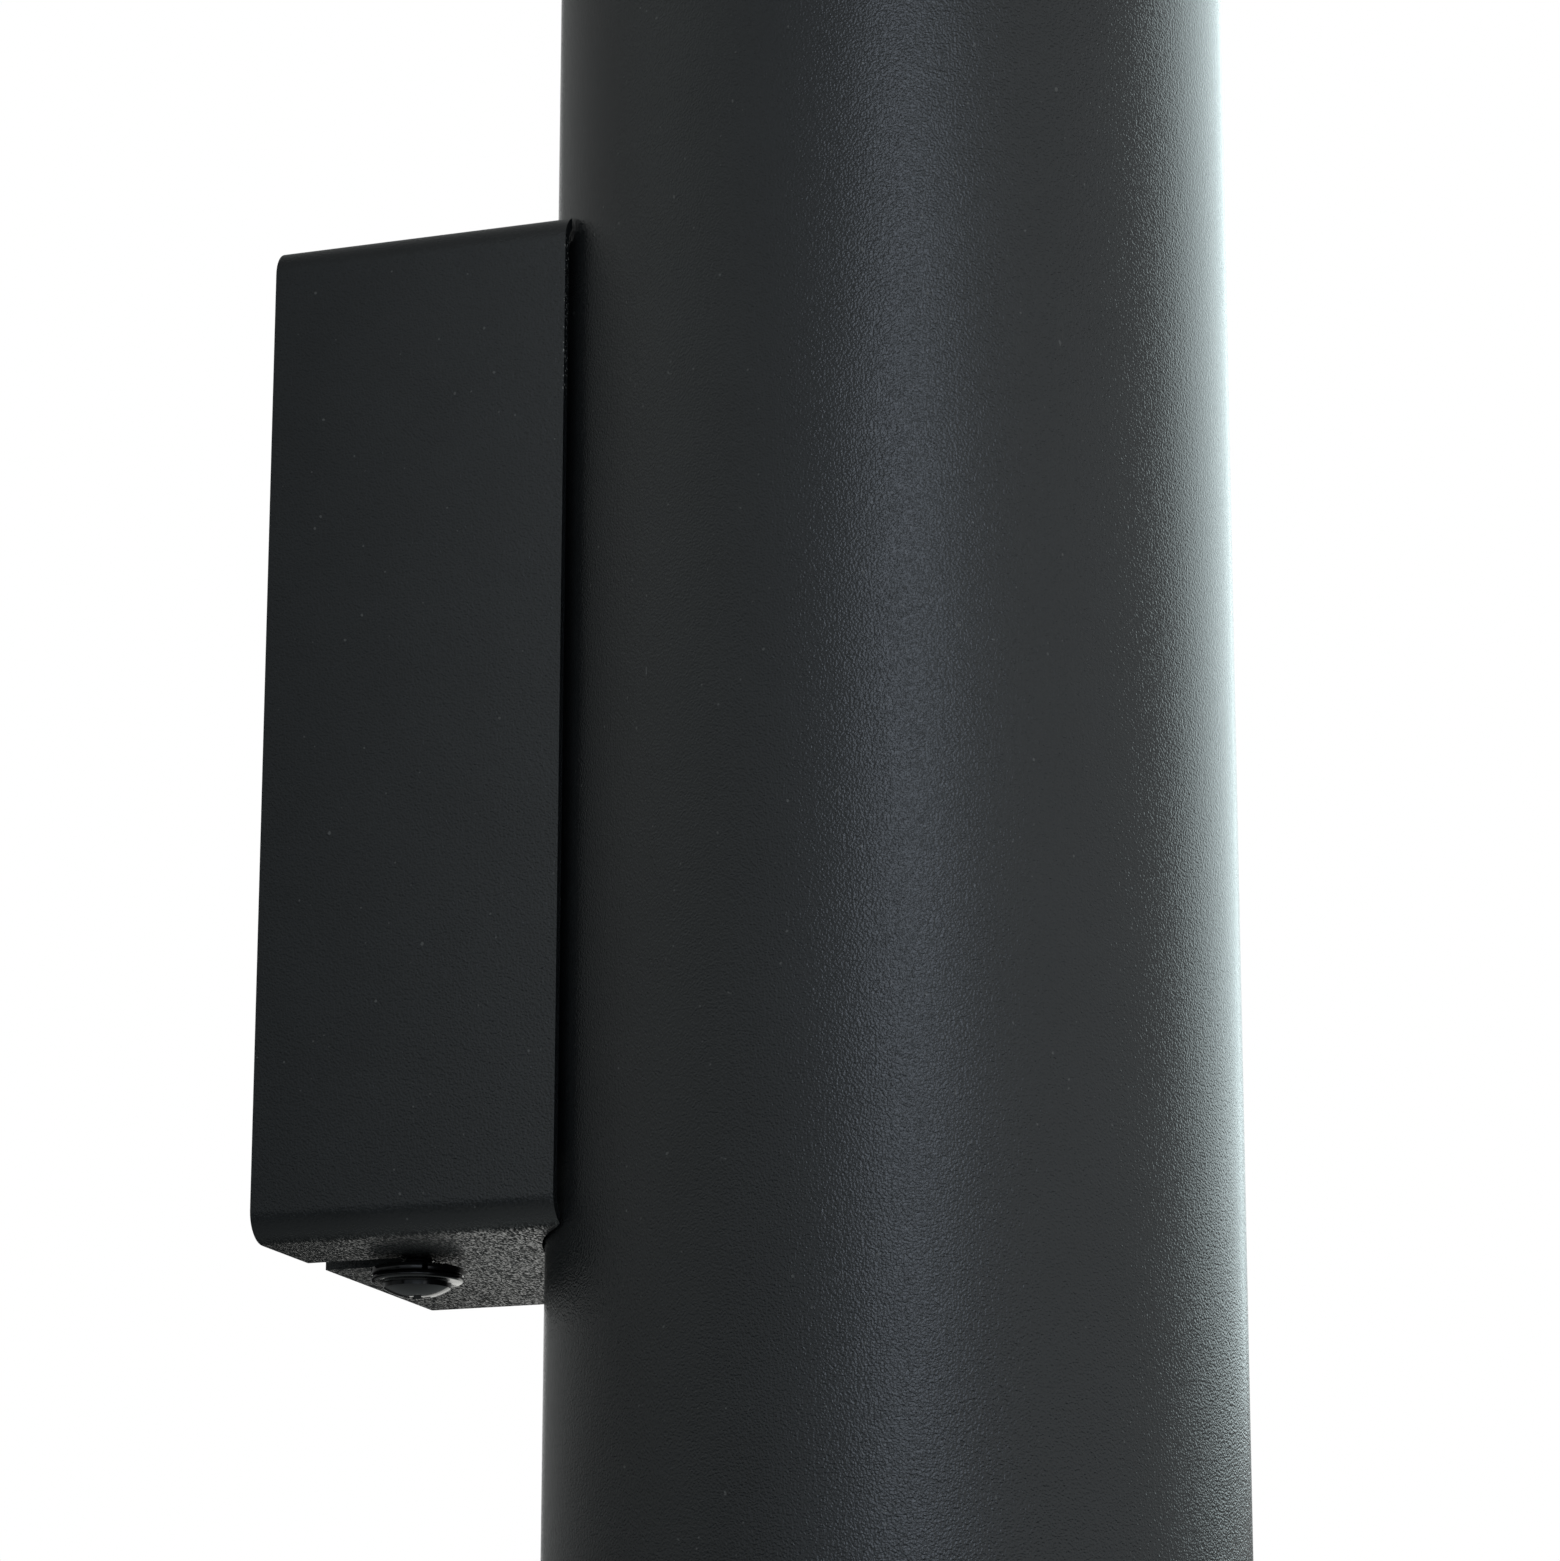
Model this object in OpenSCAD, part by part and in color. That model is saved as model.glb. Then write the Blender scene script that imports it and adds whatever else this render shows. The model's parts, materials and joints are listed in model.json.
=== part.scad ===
// Up and down wall lamp: a vertical tube carried by a flat box that slides over a wall bracket.
// Frame in millimetres: the wall is the plane y = 0, the lamp stands out towards -Y, and +Z is up.
// The origin is the middle of the wall bracket's back face. Depths are counted from the wall.

/* [Tube] */
// Outer diameter of the tube
tube_d = 80; // [77:1:88]
// Length of the tube
tube_l = 300; // [300:5:600]
// Wall of the tube
tube_wall = 1.5; // [1:0.1:2]
// Distance from the wall to the tube's axis
axis_reach = 68; // [66:1:80]

/* [Arm box] */
// Width of the box
box_w = 56; // [54:1:64]
// Height of the box
box_h = 120; // [116:1:150]
// Sheet of the box
box_wall = 1.2; // [0.8:0.1:1.6]
// Outer radius of the box's four folds
box_bend = 3.5; // [2.5:0.5:5]
// Gap between a side's front edge and the tube
side_reveal = 1.7; // [1:0.1:3]
// Gap between the scribed top and bottom edges and the tube
scribe_gap = 0.3; // [0.2:0.1:0.6]
// Width of the open slot in the top and in the bottom
slot_w = 5; // [5:0.5:8]

/* [Bracket screws] */
// Thread of the screws that hold the box on the bracket
screw_d = 4; // [3:0.5:4.5]
// Depth of the screws from the wall
screw_reach = 12.8; // [11:0.2:15]
// Distance of the screws from the middle of the box
screw_offset = 9.4; // [0:0.2:14]
// Slack that is left between the box and the lock washer
screw_slack = 0.95; // [0.95:0.05:1.5]
// Clear space between the screw and the end of its slot
slot_stop = 0.2; // [0.1:0.1:1]
// Diameter of the lock washer and of the screw's flange
washer_d = 10.8; // [9:0.2:12]
// Thickness of the lock washer
washer_t = 0.9; // [0.6:0.1:1.2]
// Width of the split in the lock washer
washer_split = 0.7; // [0.4:0.1:1.2]
// Thickness of the screw's flange
flange_t = 0.7; // [0.4:0.05:1]
// Diameter of the screw's head above the flange
head_d = 7.8; // [6.6:0.1:8.5]
// Height of the screw's head above the flange
head_h = 1.8; // [1.4:0.05:2.4]
// Width of the cross recess
recess_w = 1; // [0.8:0.1:1.3]
// Length of the cross recess
recess_l = 4.4; // [3.6:0.1:5]

/* [Wall bracket] */
// Width of the bracket
bracket_w = 44; // [40:1:50]
// Sheet of the bracket
bracket_t = 1.5; // [1.2:0.1:2]
// How far the bracket's ears stand out from the wall
ear_reach = 20; // [18:0.5:22]
// Gap between the bracket's ears and the box
ear_gap = 0.3; // [0.2:0.1:0.6]
// Distance between the two wall slots
wall_pitch = 70; // [60:1:80]
// Width of a wall slot
wall_slot_w = 4.8; // [4:0.2:6]
// End-to-end length of a wall slot
wall_slot_l = 14; // [8:1:18]
// Bore of the cable grommet
cable_d = 14; // [10:1:16]
// Diameter of the bracket's clinch nuts
clinch_d = 8.4; // [7.8:0.2:10]
// Height of the bracket's clinch nuts
clinch_h = 3; // [2.4:0.2:4]

/* [Saddle] */
// Sheet of the saddle that joins the box to the tube
saddle_t = 1.5; // [1.2:0.1:2]
// Height of the saddle
saddle_h = 100; // [90:1:110]
// Distance between the two saddle screws
saddle_pitch = 72; // [70:1:76]
// Outer diameter of the threaded cable pipe
pipe_d = 10; // [9:0.5:11]
// Bore of the threaded cable pipe
pipe_bore = 7.4; // [6.6:0.1:7.8]

/* [Lamps] */
// Distance from the tube's end to the face of the reflector lamp
lamp_recess = 35; // [30:1:35]
// Diameter of the reflector lamp
lamp_d = 50; // [48:1:51]
// Length of the reflector lamp without its pins
lamp_l = 50; // [46:1:50]
// Distance between the reflector lamp's pins
pin_pitch = 10; // [9.8:0.1:10.4]
// Diameter of a pin's head
pin_head_d = 5; // [4.6:0.1:5.2]
// Diameter of a pin's neck
pin_neck_d = 3; // [2.6:0.1:3.4]
// Turn that locks the reflector lamp, in degrees
lock_angle = 25; // [18:1:30]
// Diameter of the ceramic lampholder
holder_d = 28; // [27:0.5:32]
// Height of the ceramic lampholder
holder_h = 20; // [17:0.5:20]
// Thickness of the lampholder's lip that the pins hook behind
lip_t = 2; // [1.6:0.1:2.6]
// Width of the strap that carries both lampholders
carrier_w = 26; // [25:0.5:28]
// Sheet of that strap
carrier_t = 1.5; // [1.2:0.1:2]
// Distance between the two screws of a lampholder
holder_pitch = 19; // [18.6:0.1:20]

/* [Glare ring] */
// Sheet of the glare ring
glare_t = 1.2; // [0.8:0.1:1.6]
// Depth of the glare ring's upper edge in the tube
glare_inset = 6; // [3:0.5:10]
// Height of the glare ring's outer band
glare_band = 7; // [5:0.5:10]
// Clear space round the reflector lamp
glare_clear = 1.5; // [1:0.1:3]

/* [Wiring] */
// Outer diameter of a lead
lead_d = 1.9; // [1.6:0.1:2]
// Width of the three-pole terminal block
block_w = 32; // [31:0.5:36]
// Height of the terminal block
block_h = 16; // [15:0.5:17]
// How far the terminal block stands off the saddle
block_d = 15; // [14:0.5:16]
// Distance between two poles of the terminal block
pole_pitch = 10; // [9.8:0.1:10.4]

/* [Hidden] */

coat = [0.13, 0.14, 0.15];
zinc = [0.72, 0.73, 0.74];
brass = [0.8, 0.66, 0.36];
ceramic = [0.93, 0.92, 0.88];
plastic = [0.9, 0.9, 0.88];
blackened = [0.1, 0.1, 0.11];

// Faces of two stacked pieces stand this far apart
seat = 0.05;
// Round a hole that a screw passes through
pass_gap = 0.2;
// Between a thread and its nut
thread_gap = 0.05;
// Between the lock washer and its screw
washer_gap = 0.15;
// Between the reflector lamp and its holder, and round the heads of its pins
lamp_gap = 0.3;
// Cuts run past the faces that they open by this much
over = 1;
// Slit in the heads of the small screws
slit_w = 0.7;
slit_d = 0.9;

tube_r = tube_d / 2;
bore_r = tube_r - tube_wall;
skin_depth = axis_reach - tube_r;
side_depth = axis_reach - sqrt(pow(tube_r + side_reveal, 2) - pow(box_w / 2, 2));

thread_r = screw_d / 2 - thread_gap;
slot_end = screw_reach + screw_d / 2 + slot_stop;
washer_bore = screw_d / 2 + washer_gap;
head_rim = 0.7;
recess_depth = 1.3;

ear_z = box_h / 2 - box_wall - ear_gap;
bracket_bend = 3;
ear_corner = 4;
collar_r = 2.8;
grommet_lip = 1.5;
grommet_lip_w = 2;
grommet_groove_w = 2.5;

saddle_face = skin_depth - scribe_gap;
saddle_back = saddle_face - saddle_t;
saddle_w = box_w - 2 * box_wall - 2 * seat;
saddle_bend = 3;
saddle_leg = side_depth - saddle_back - over;
fixing_r = 1.95;
fixing_nut_h = 3.2;
fixing_nut_w = 7;
fixing_head_r = 3.8;
fixing_head_h = 2.4;
thread_end = 1;

pipe_nut_w = 14;
pipe_nut_h = 3;
pipe_washer_t = 0.8;
pipe_washer_r = 7.8;
pipe_washer_teeth = 10;
tooth_r = 0.8;
pipe_rear = saddle_back - pipe_washer_t - 3 * seat - pipe_nut_h - thread_end;

web_reach = sqrt(pow(bore_r, 2) - pow(carrier_w / 2, 2)) - pass_gap;
web_face = axis_reach - web_reach;
web_back = web_face + carrier_t;
lamp_face_z = tube_l / 2 - lamp_recess;
holder_front = lamp_face_z - lamp_l - lamp_gap;
carrier_z = holder_front - holder_h - seat;
carrier_bend = 4;
tab_past_axis = 13;
tab_hole_r = 6.4;
pipe_front = web_back + 2 * seat + pipe_nut_h + thread_end;

pin_r = pin_pitch / 2;
pin_head_h = 2.6;
contact_t = 1;
contact_trim = 0.4;
channel_depth = lip_t + 2 * lamp_gap + pin_head_h + contact_t;
holder_bolt_r = 1.45;
holder_head_r = 2.7;
holder_head_h = 2;
holder_sink = 4;

base_r = 12.5;
base_h = 10;
shell_wall = 1.6;
shell_rim = 4;
lens_t = 1.6;
lens_step = 0.6;

glare_r = bore_r - 2 * seat;
glare_opening = lamp_d / 2 + glare_clear;

lead_r = lead_d / 2;
lead_gap = 0.2;
lead_side = lead_r + lead_gap;
lead_top = holder_front - channel_depth - seat;
lead_straight = 8;
lead_swing = 24;
lead_bow = 6;
lead_grip = 3;
lead_steps = 6;
block_z = 20;
block_back = saddle_back - seat;
block_face = block_back - block_d;
pole_inset = 8;
pole_depth = block_back - pole_inset;
sleeve_r = 3;
sleeve_bore = 2.3;
sleeve_l = block_h - 2;
clamp_pitch = 8;
clamp_r = 1.45;
clamp_head_r = 1.85;
clamp_head_h = 2.2;
tie_r = 1.45;
tie_head_r = 2.6;
tie_head_h = 1.6;

earth_edge = 10.75;
earth_x = saddle_w / 2 - earth_edge;
earth_z = -20;
tag_r = 4;
tag_t = 0.8;
barrel_r = 1.6;
barrel_l = 6;
barrel_z = earth_z + tag_r;
barrel_depth = saddle_back - seat - barrel_r;
earth_bow = 12;

$fn = 64;
// Facets of the large rounds and of the small holes
large_fn = 128;
small_fn = 32;

// Draws a plan in millimetres of (x, z) as a slab that runs from the wall towards the room
module towards_room(from, to) {
    translate([0, -from, 0]) rotate([90, 0, 0]) linear_extrude(to - from) children();
}

// Draws a section of (depth, z) as a strap of the given width
module across(width) {
    rotate([90, 0, -90]) linear_extrude(width, center = true) children();
}

// A round bar along the depth, at one place of the (x, z) plan
module depth_rod(r, from, to, x = 0, z = 0) {
    translate([x, -from, z]) rotate([90, 0, 0]) cylinder(r = r, h = to - from);
}

// Stands a piece that was drawn along +Z at a depth, with its top towards the room or the wall
module facing_room(depth, x = 0, z = 0) {
    translate([x, -depth, z]) rotate([90, 0, 0]) children();
}

module facing_wall(depth, x = 0, z = 0) {
    translate([x, -depth, z]) rotate([-90, 0, 0]) children();
}

module at_tube() {
    translate([0, -axis_reach, 0]) children();
}

module at_screw() {
    translate([-screw_offset, -screw_reach, 0]) children();
}

// The upper form as it is, or mirrored for the lower end
module at_end(side) {
    mirror([0, 0, side < 0 ? 1 : 0]) children();
}

// The upper form as it is, or turned over so that both ends lock the same way round
module at_lamp_end(side) {
    rotate([0, side < 0 ? 180 : 0, 0]) at_tube() children();
}

module both_ends() {
    for (side = [1, -1]) at_end(side) children();
}

module rounded_plan(w, h, r) {
    square([w - 2 * r, h], center = true);
    square([w, h - 2 * r], center = true);
    for (sx = [-1, 1], sy = [-1, 1])
        translate([sx * (w / 2 - r), sy * (h / 2 - r)]) circle(r);
}

// Outline of a folded channel's outside: the web stands at 0 and the legs run to the given length
module fold_plan(reach, height, r) {
    translate([r, -height / 2]) square([reach - r, height]);
    translate([0, -height / 2 + r]) square([reach, height - 2 * r]);
    for (s = [-1, 1]) translate([r, s * (height / 2 - r)]) circle(r);
}

module channel_plan(reach, height, t, r) {
    difference() {
        fold_plan(reach, height, r);
        translate([t, 0]) fold_plan(reach, height - 2 * t, r - t);
    }
}

// A slot along Z through a sheet that lies on the wall
module wall_slot(z) {
    half = (wall_slot_l - wall_slot_w) / 2;
    for (s = [-1, 1]) depth_rod(wall_slot_w / 2, -over, bracket_t + over, 0, z + s * half);
    translate([-wall_slot_w / 2, -bracket_t - over, z - half])
        cube([wall_slot_w, bracket_t + 2 * over, 2 * half]);
}

// Wall bracket: a strap with an ear at each end that the box slides over
module wall_bracket() {
    color(zinc) difference() {
        intersection() {
            across(bracket_w) channel_plan(ear_reach, 2 * ear_z, bracket_t, bracket_bend);
            linear_extrude(box_h, center = true) union() {
                translate([-bracket_w / 2, -ear_reach + ear_corner])
                    square([bracket_w, ear_reach - ear_corner]);
                translate([-bracket_w / 2 + ear_corner, -ear_reach])
                    square([bracket_w - 2 * ear_corner, ear_reach]);
                for (s = [-1, 1])
                    translate([s * (bracket_w / 2 - ear_corner), -ear_reach + ear_corner])
                        circle(ear_corner);
            }
        }
        for (s = [-1, 1]) wall_slot(s * wall_pitch / 2);
        depth_rod(cable_d / 2 + grommet_groove_w, -over, bracket_t + over);
        both_ends() at_screw() translate([0, 0, ear_z - bracket_t - over])
            cylinder(r = collar_r, h = bracket_t + 2 * over);
    }
}

// Threaded clinch nuts pressed into the bracket's ears
module clinch_nuts() {
    color(zinc) both_ends() at_screw() difference() {
        union() {
            translate([0, 0, ear_z - bracket_t - clinch_h]) cylinder(r = clinch_d / 2, h = clinch_h - seat);
            translate([0, 0, ear_z - bracket_t - over]) cylinder(r = collar_r - seat, h = bracket_t + over);
        }
        translate([0, 0, ear_z - bracket_t - clinch_h - over])
            cylinder(r = thread_r + thread_gap, h = clinch_h + bracket_t + 2 * over);
    }
}

// Grommet that lines the cable hole: a lip on the room side and a neck through the plate
module cable_grommet() {
    color(blackened) difference() {
        union() {
            depth_rod(cable_d / 2 + grommet_groove_w - seat, 0, bracket_t + grommet_lip);
            depth_rod(cable_d / 2 + grommet_groove_w + grommet_lip_w,
                      bracket_t + seat, bracket_t + grommet_lip);
        }
        depth_rod(cable_d / 2, -over, bracket_t + grommet_lip + over);
    }
}

// Arm box: folded sheet, open to the wall, with top and bottom scribed to the tube
module arm_box() {
    color(coat) difference() {
        towards_room(0, side_depth) rounded_plan(box_w, box_h, box_bend);
        towards_room(-over, side_depth + over)
            rounded_plan(box_w - 2 * box_wall, box_h - 2 * box_wall, box_bend - box_wall);
        at_tube() cylinder(r = tube_r + scribe_gap, h = box_h + 2 * over, center = true, $fn = large_fn);
        translate([-screw_offset, 0, 0]) linear_extrude(box_h + 2 * over, center = true) union() {
            translate([0, -slot_end + slot_w / 2]) circle(slot_w / 2);
            translate([-slot_w / 2, -slot_end + slot_w / 2]) square([slot_w, slot_end + over]);
        }
    }
}

// Holes that the saddle, the tube and the carrier share: two screws and the cable pipe
module joint_holes(from, to) {
    for (s = [-1, 1]) depth_rod(fixing_r + thread_gap + pass_gap, from, to, 0, s * saddle_pitch / 2);
    depth_rod(pipe_d / 2 + pass_gap, from, to);
}

module lamp_tube() {
    color(coat) difference() {
        at_tube() cylinder(r = tube_r, h = tube_l, center = true, $fn = large_fn);
        at_tube() cylinder(r = bore_r, h = tube_l + 2 * over, center = true, $fn = large_fn);
        joint_holes(skin_depth - over, skin_depth + tube_wall + over);
    }
}

// Saddle: a folded channel inside the box, welded to its sides and screwed to the tube
module saddle_plate() {
    color(zinc) difference() {
        translate([0, -saddle_back, 0]) rotate([0, 0, -90]) linear_extrude(saddle_h, center = true)
            channel_plan(saddle_leg, saddle_w, saddle_t, saddle_bend);
        joint_holes(saddle_back - over, saddle_face + over);
        for (s = [-1, 1])
            depth_rod(tie_r + thread_gap, saddle_back - over, saddle_face + over,
                      s * pole_pitch / 2, block_z);
        depth_rod(fixing_r + thread_gap, saddle_back - over, saddle_face + over, earth_x, earth_z);
    }
}

// Drawn along +Z with the head's seat at 0: a domed head with a cross recess
module pan_screw(r, length, head_r, head_height) {
    dome_r = (pow(head_r, 2) + pow(head_height / 2, 2)) / head_height;
    difference() {
        union() {
            translate([0, 0, -length]) cylinder(r = r, h = length + head_height / 2);
            intersection() {
                cylinder(r = head_r, h = head_height);
                translate([0, 0, head_height - dome_r]) sphere(dome_r);
            }
        }
        for (a = [0, 90]) rotate([0, 0, a]) translate([0, 0, head_height])
            cube([recess_w, recess_l, head_height], center = true);
    }
}

// Drawn along +Z with the head's seat at 0: a flat head with a slit
module slotted_screw(r, length, head_r, head_height) {
    difference() {
        union() {
            translate([0, 0, -length]) cylinder(r = r, h = length + head_height / 2);
            cylinder(r = head_r, h = head_height);
        }
        translate([-head_r - over, -slit_w / 2, head_height - slit_d])
            cube([2 * (head_r + over), slit_w, slit_d + over]);
    }
}

module saddle_screws() {
    depth = web_back + seat;
    color(zinc) for (s = [-1, 1]) facing_room(depth, 0, s * saddle_pitch / 2)
        pan_screw(fixing_r, depth - saddle_back + seat + fixing_nut_h + thread_end,
                  fixing_head_r, fixing_head_h);
}

module hex_nut(width, bore, from, to, z = 0) {
    difference() {
        facing_room(from, 0, z) cylinder(d = width / cos(30), h = to - from, $fn = 6);
        depth_rod(bore, from - over, to + over, 0, z);
    }
}

module saddle_nuts() {
    color(zinc) for (s = [-1, 1])
        hex_nut(fixing_nut_w, fixing_r + thread_gap, saddle_back - seat - fixing_nut_h,
                saddle_back - seat, s * saddle_pitch / 2);
}

// Carrier: one strap inside the tube whose bent ends hold the lampholders
module lamp_carrier() {
    color(zinc) difference() {
        translate([0, -web_face, 0]) across(carrier_w)
            channel_plan(web_reach + tab_past_axis, 2 * carrier_z, carrier_t, carrier_bend);
        joint_holes(web_face - over, web_back + over);
        at_tube() {
            cylinder(r = tab_hole_r, h = tube_l, center = true);
            for (s = [-1, 1]) translate([s * holder_pitch / 2, 0, 0])
                cylinder(r = holder_bolt_r + thread_gap, h = tube_l, center = true);
        }
    }
}

// Threaded pipe that clamps saddle, tube and carrier together and passes the leads
module cable_pipe() {
    color(zinc) difference() {
        depth_rod(pipe_d / 2, pipe_rear, pipe_front);
        depth_rod(pipe_bore / 2, pipe_rear - over, pipe_front + over);
    }
}

module pipe_nuts() {
    color(zinc) {
        hex_nut(pipe_nut_w, pipe_d / 2 + thread_gap, web_back + seat, web_back + seat + pipe_nut_h);
        hex_nut(pipe_nut_w, pipe_d / 2 + thread_gap,
                pipe_rear + thread_end, pipe_rear + thread_end + pipe_nut_h);
    }
}

// Toothed washer between the saddle and the rear nut
module pipe_washer() {
    color(zinc) difference() {
        depth_rod(pipe_washer_r, saddle_back - seat - pipe_washer_t, saddle_back - seat);
        depth_rod(pipe_d / 2 + thread_gap, 0, saddle_back + over);
        for (i = [1:pipe_washer_teeth]) rotate([0, i * 360 / pipe_washer_teeth, 0])
            depth_rod(tooth_r, 0, saddle_back + over, pipe_washer_r);
    }
}

// Each pole of the block, and each of its two clamping screws
module at_poles() {
    for (i = [-1:1]) translate([i * pole_pitch, 0, block_z]) children();
}

module at_clamps() {
    at_poles() for (s = [-1, 1]) translate([0, 0, s * clamp_pitch / 2]) children();
}

module terminal_block() {
    color(plastic) difference() {
        translate([-block_w / 2, -block_back, block_z - block_h / 2]) cube([block_w, block_d, block_h]);
        at_poles() translate([0, -pole_depth, 0])
            cylinder(r = sleeve_r + seat, h = block_h + 2 * over, center = true);
        at_clamps() depth_rod(clamp_head_r + pass_gap, block_face - over, pole_depth);
        for (s = [-1, 1]) translate([s * pole_pitch / 2, 0, block_z]) {
            depth_rod(tie_r + pass_gap / 2, block_face - over, block_back + over);
            depth_rod(tie_head_r + pass_gap, block_face - over, block_face + tie_head_h + seat);
        }
    }
}

module terminal_sleeves() {
    color(brass) difference() {
        at_poles() translate([0, -pole_depth, 0]) difference() {
            cylinder(r = sleeve_r, h = sleeve_l, center = true);
            cylinder(r = sleeve_bore, h = sleeve_l + 2 * over, center = true);
        }
        at_clamps() depth_rod(clamp_r + thread_gap, block_face, pole_depth - over);
    }
}

module terminal_screws() {
    depth = block_face + over + clamp_head_h;
    color(zinc) at_clamps() facing_wall(depth)
        slotted_screw(clamp_r, pole_depth - sleeve_bore + seat - depth, clamp_head_r, clamp_head_h);
}

// Screws that fix the block to the saddle
module block_screws() {
    depth = block_face + tie_head_h;
    color(zinc) for (s = [-1, 1]) facing_wall(depth, s * pole_pitch / 2, block_z)
        slotted_screw(tie_r, saddle_face - depth, tie_head_r, tie_head_h);
}

module earth_screw() {
    depth = saddle_back - 2 * seat - tag_t;
    color(brass) facing_wall(depth, earth_x, earth_z)
        pan_screw(fixing_r, saddle_face + thread_end - depth, fixing_head_r, fixing_head_h);
}

// Ring tongue with a crimped barrel for the earth lead
module earth_tag() {
    color(zinc) difference() {
        union() {
            depth_rod(tag_r, saddle_back - seat - tag_t, saddle_back - seat, earth_x, earth_z);
            translate([earth_x - barrel_r, -saddle_back + seat, earth_z])
                cube([2 * barrel_r, tag_t, tag_r + barrel_l / 2]);
            translate([earth_x, -barrel_depth, barrel_z]) cylinder(r = barrel_r, h = barrel_l);
        }
        depth_rod(fixing_r + pass_gap, 0, saddle_back, earth_x, earth_z);
        translate([earth_x, -barrel_depth, barrel_z - over])
            cylinder(r = lead_r + seat, h = barrel_l + 2 * over);
        depth_rod(fixing_head_r + pass_gap, 0, saddle_back - seat - tag_t, earth_x, earth_z);
    }
}

// A curve from a to d that leaves towards b and arrives from c
function bend(a, b, c, d) =
    [for (k = [0:lead_steps]) let (t = k / lead_steps, u = 1 - t)
        u * u * u * a + 3 * u * u * t * b + 3 * u * t * t * c + t * t * t * d];
function unit(v) = v / norm(v);
function along(p, i) = unit(p[min(i + 1, len(p) - 1)] - p[max(i - 1, 0)]);

// A round tube of one radius swept along a path
module swept(path, r) {
    sides = 8;
    rings = len(path);
    points = [for (i = [0:rings - 1])
        let (t = along(path, i), n = unit([1, 0, 0] - t[0] * t), b = cross(t, n))
        for (k = [0:sides - 1]) path[i] + r * (cos(k * 360 / sides) * n + sin(k * 360 / sides) * b)];
    sleeve = [for (i = [0:rings - 2], k = [0:sides - 1])
        let (a = i * sides + k, b = i * sides + (k + 1) % sides)
        for (f = [[a, a + sides, b + sides], [a, b + sides, b]]) f];
    last = (rings - 1) * sides;
    caps = [for (k = [1:sides - 2], f = [[0, k, k + 1], [last, last + k + 1, last + k]]) f];
    polyhedron(points, concat(sleeve, caps));
}

// From a lampholder down to the cable pipe; pole is -1 for live and 1 for neutral
function tube_route(side, pole) =
    let (x = pole * pin_r * sin(lock_angle / 2),
         y = -axis_reach - side * pole * pin_r * cos(lock_angle / 2),
         top = [x, y, side * lead_top],
         drop = [x, y, side * (carrier_z - lead_straight)],
         mouth = [pole * lead_side, -pipe_front - lead_straight / 2, side * lead_side])
    concat([top], bend(drop, drop - [0, 0, side * lead_swing], mouth - [0, lead_swing, 0], mouth));

// From the cable pipe up into a pole of the terminal block
function box_route(side, pole) =
    let (mouth = [pole * lead_side, -pipe_rear, side * lead_side],
         entry = [pole * pole_pitch, -pole_depth - side * lead_side, block_z - block_h / 2 - over])
    concat(bend(mouth, mouth + [0, lead_bow - side * lead_side, 0], entry - [0, 0, lead_bow], entry),
           [entry + [0, 0, lead_grip]]);

module lead_pair(pole) {
    for (side = [-1, 1]) swept(concat(tube_route(side, pole), box_route(side, pole)), lead_r);
}

module live_leads() {
    color([0.45, 0.25, 0.12]) lead_pair(-1);
}

module neutral_leads() {
    color([0.15, 0.35, 0.75]) lead_pair(1);
}

module earth_lead() {
    start = [earth_x, -barrel_depth, barrel_z + barrel_l / 2];
    leave = start + [0, 0, barrel_l / 2 + over];
    entry = [0, -pole_depth, block_z - block_h / 2 - over];
    color([0.45, 0.7, 0.2])
        swept(concat([start], bend(leave, leave + [0, earth_bow, earth_bow],
                                   entry + [0, earth_bow, -earth_bow / 2], entry),
                     [entry + [0, 0, lead_grip]]), lead_r);
}

// An arc-shaped slot round the tube's axis for one pin: from the locked place to the entry
module pin_path(width, depth) {
    translate([0, 0, -depth]) {
        rotate_extrude(angle = lock_angle)
            translate([pin_r - width / 2, 0]) square([width, depth + over]);
        for (a = [0, lock_angle]) rotate([0, 0, a]) translate([pin_r, 0, 0])
            cylinder(r = width / 2, h = depth + over);
    }
}

module both_pins() {
    for (a = [90, 270]) rotate([0, 0, a]) children();
}

module holder_bolts() {
    for (s = [-1, 1]) translate([s * holder_pitch / 2, 0, 0]) children();
}

// Ceramic lampholder with keyhole slots that the pins turn into
module holder(side) {
    entry_r = pin_head_d / 2 + lamp_gap;
    color(ceramic) at_lamp_end(side) translate([0, 0, holder_front]) difference() {
        translate([0, 0, -holder_h]) cylinder(r = holder_d / 2, h = holder_h);
        both_pins() {
            pin_path(pin_neck_d + 2 * pass_gap, lip_t + over);
            translate([0, 0, -lip_t]) difference() {
                pin_path(2 * entry_r, channel_depth - lip_t);
                cylinder(r = holder_d, h = over + lip_t);
            }
            rotate([0, 0, lock_angle]) translate([pin_r, 0, -channel_depth])
                cylinder(r = entry_r, h = channel_depth + over);
            rotate([0, 0, lock_angle / 2]) translate([pin_r, 0, -holder_h - over])
                cylinder(r = lead_r + lead_gap, h = holder_h, $fn = small_fn);
        }
        holder_bolts() {
            translate([0, 0, -holder_h - over])
                cylinder(r = holder_bolt_r + pass_gap, h = holder_h + 2 * over, $fn = small_fn);
            translate([0, 0, -holder_sink]) cylinder(r = holder_head_r + pass_gap, h = holder_sink + over);
        }
    }
}

module upper_holder() { holder(1); }
module lower_holder() { holder(-1); }

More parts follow.
